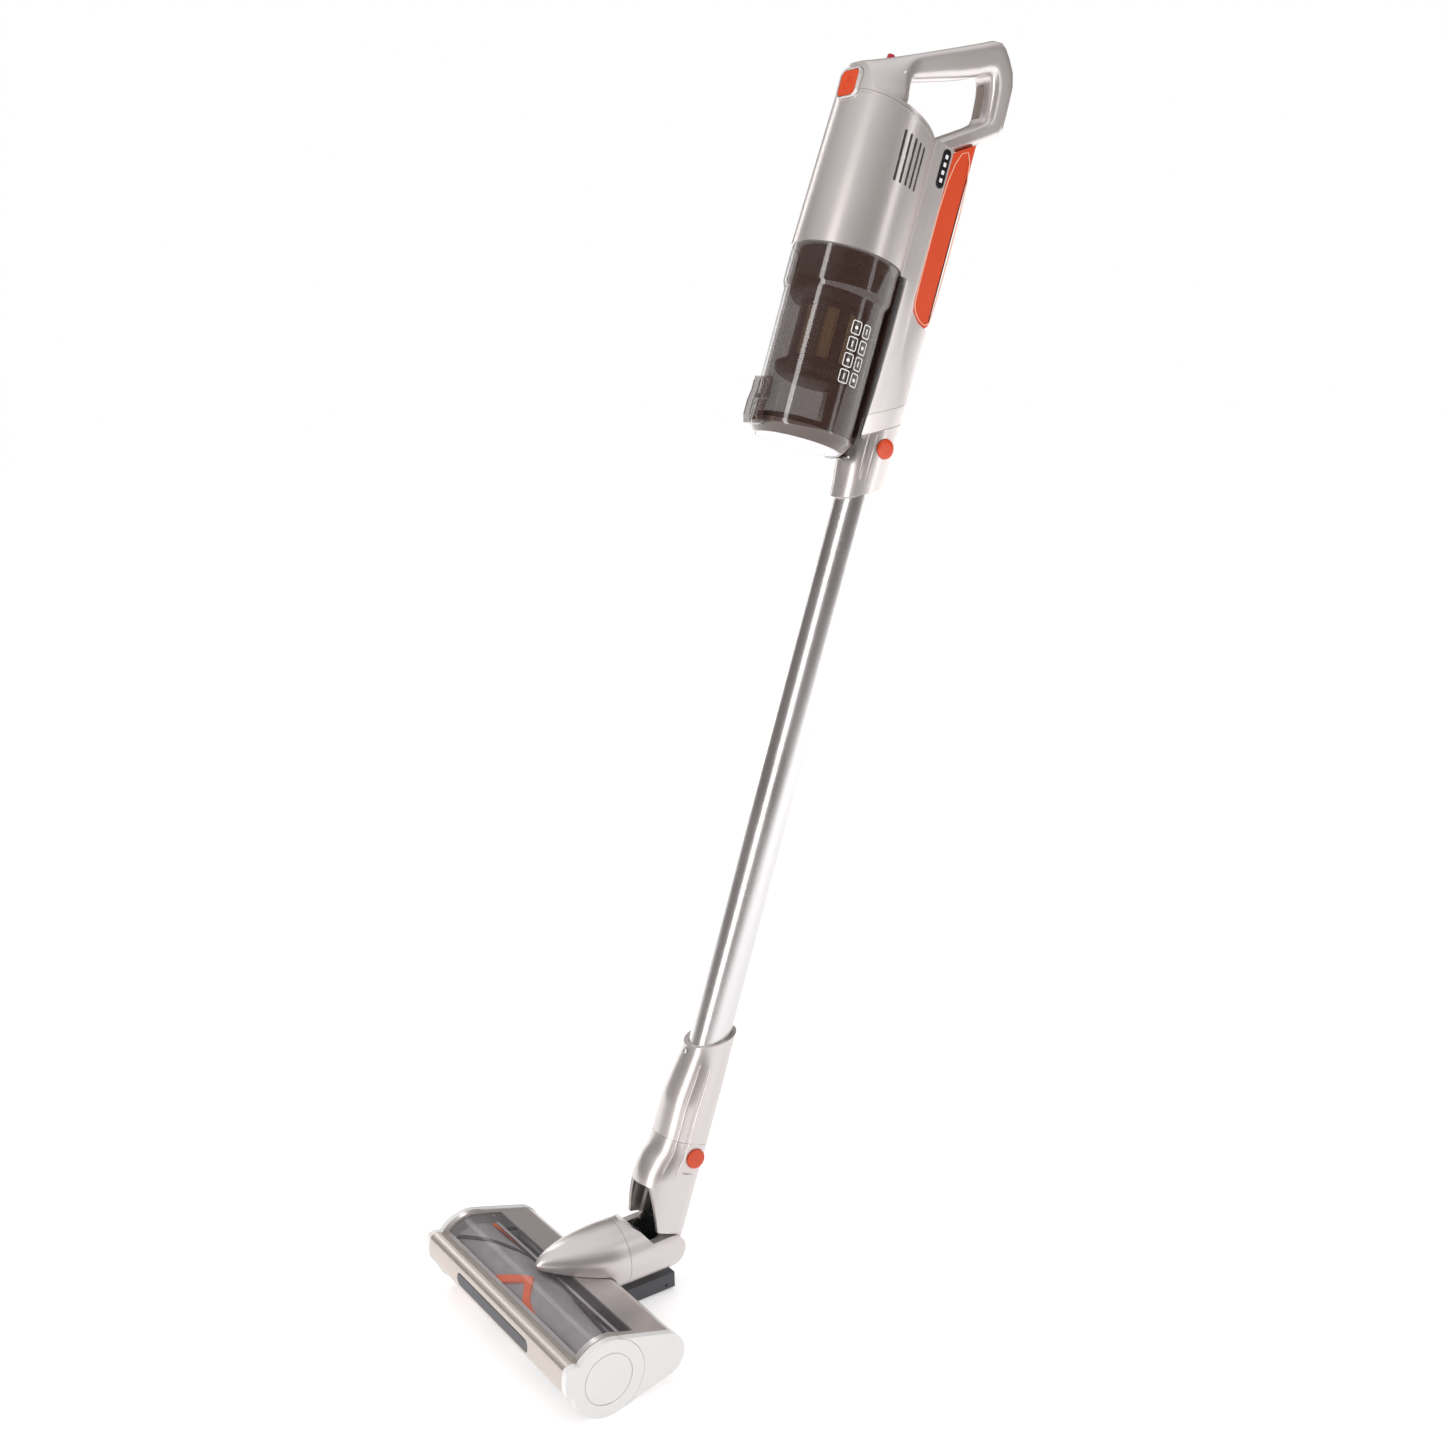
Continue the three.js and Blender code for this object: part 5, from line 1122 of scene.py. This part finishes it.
def make_roller():
    random.seed(4)
    rings = []
    for i in range(81):
        x = -102 + 210.5 * i / 80
        ring = []
        for k in range(96):
            angle = TURN * k / 96
            wave = math.sin(3 * angle + x / 26) * 0.7 + math.sin(5 * angle - x / 11) * 0.3
            r = 26.3 + wave + random.uniform(-0.22, 0.22)
            ring.append((x, BRUSH_Y + r * math.cos(angle), CAP_R + r * math.sin(angle)))
        rings.append(ring)
    work = cut(loft(rings), brush_axis(15.3, -130, 130, 64))
    fine(work, HEAD, "brush_sleeve", "brush_fluff", bevel=0, angle=80)
    for k in range(2):
        chevron = [(x, turn + k / 2) for x, turn in CHEVRON]
        bristles = [(x, turn + k / 2) for x, turn in BRISTLES]
        roller_strip(f"roller_orange_{k + 1}", "brush_orange", chevron, 4.8, 1.6)
        roller_strip(f"roller_bristles_{k + 1}", "bristle_black", bristles, 1.8, 1.5)


def make_yoke():
    side = [(SEAM_Y + GAP, -30), (-1, -30), (6.5, -21), (10, -9), (11.2, -3), (11.5, 0), (10.6, 4.4),
            (8.1, 8.1), (4.4, 10.6), (0, 11.4), (-6, 11.4), (-19.4, 11), (-27.4, 21.5), (-39, 30),
            (SEAM_Y + GAP, 30)]
    barrel = keep(cylinder("y", NECK_R, SEAM_Y + GAP, 40, (0, 0)), prism(side, -40, 40))
    work = join(barrel, cylinder("y", 25.1, SEAM_Y - 12, SEAM_Y + 2, (0, 0)))
    work = cut(work, block(-18.9, 18.9, -24, 40, -15.5, 60), cylinder("y", 14, SEAM_Y - 20, 0, (0, 0)),
               cylinder("x", 3.6, -24.8, 24.8, (0, 0), 48))
    fine(work, NECK, "neck_yoke", "champagne_silver", bevel=0.6)


def hose_path(front, up):
    """Points from the neck's bore, round the hinge, to the wand's duct, and the way along to each."""
    bend, along_neck, along_wand = 17.5, 34, 57.5
    spots = [front * along_neck * (1 - k / 12) + front * bend * (k / 12) for k in range(13)]
    spots += [front * bend * (1 - t) ** 2 + up * bend * t * t for t in np.linspace(0.04, 0.96, 24)]
    spots += [up * (bend + (along_wand - bend) * k / 28) for k in range(29)]
    reach = [0.0]
    for p, q in zip(spots, spots[1:]):
        reach.append(reach[-1] + float(np.linalg.norm(q - p)))
    return np.array(spots), reach


def make_hose():
    """The corrugated hose, thickest where it shows in the wedge behind the neck."""
    up = np.array([0, math.sin(LEAN), math.cos(LEAN)])
    front = np.array([0, -1.0, 0])
    spots, reach = hose_path(front, up)
    total, rows, points = reach[-1], 170, 48
    pitch, wall, swell, swell_at, swell_length = 4.1, 1.0, 4.2, 33, 15

    def at(way):
        return np.array([np.interp(way, reach, spots[:, axis]) for axis in range(3)])

    outer, inner = [], []
    for i in range(rows):
        s = total * i / (rows - 1)
        along = at(min(s + 1.5, total)) - at(max(s - 1.5, 0))
        side = np.array([1.0, 0, 0])
        over = np.cross(along / np.linalg.norm(along), side)
        bulge = swell * math.exp(-((s - swell_at) / swell_length) ** 4)
        r = 10.6 + bulge + (0.85 + 0.12 * bulge) * math.cos(TURN * s / pitch)
        spot = at(s) + np.array([0, -0.75, 0.66]) * bulge * 0.9
        for store, radius in ((outer, r), (inner, r - wall)):
            ring = []
            for k in range(points):
                angle = TURN * k / points
                ring.append(tuple(spot + side * radius * math.cos(angle) + over * radius * math.sin(angle)))
            store.append(ring)
    rings = outer + inner[::-1]
    verts = [p for ring in rings for p in ring]
    faces = []
    for i in range(len(rings)):
        here, there = i * points, (i + 1) % len(rings) * points
        for k in range(points):
            n = (k + 1) % points
            faces.append((here + k, here + n, there + n, there + k))
    hinge, reach_m = np.array(PIVOT), 0.0175
    bend = (node_body["neck_yoke"], node_body["wand_tube"],
            tuple(hinge + front * reach_m), tuple(hinge + up * reach_m))
    fine(raw(verts, faces), NECK, "neck_hose", "black_rubber", bevel=0, angle=80, bend=bend)


make_nose()
make_window()
make_bumper()
make_end(-1)
make_end(1)
make_roller()
make_yoke()
make_hose()


# ---------------------------------------------------------------- the rest of the CAD nodes
INSIDE = {"suction_motor", "motor_mount", "impeller", "pre_motor_filter", "control_board", "cell_stack_1",
          "cell_stack_2", "cell_stack_3", "battery_cover", "drive_motor", "motor_pulley", "drive_belt"}
for node, thing in frame["nodes"].items():
    if thing.hide_render:
        continue
    if node in INSIDE:
        thing.data.materials.clear()
        thing.data.materials.append(LOOKS[slots[node]])
    else:
        refined(node)

make_studio()
make_camera()
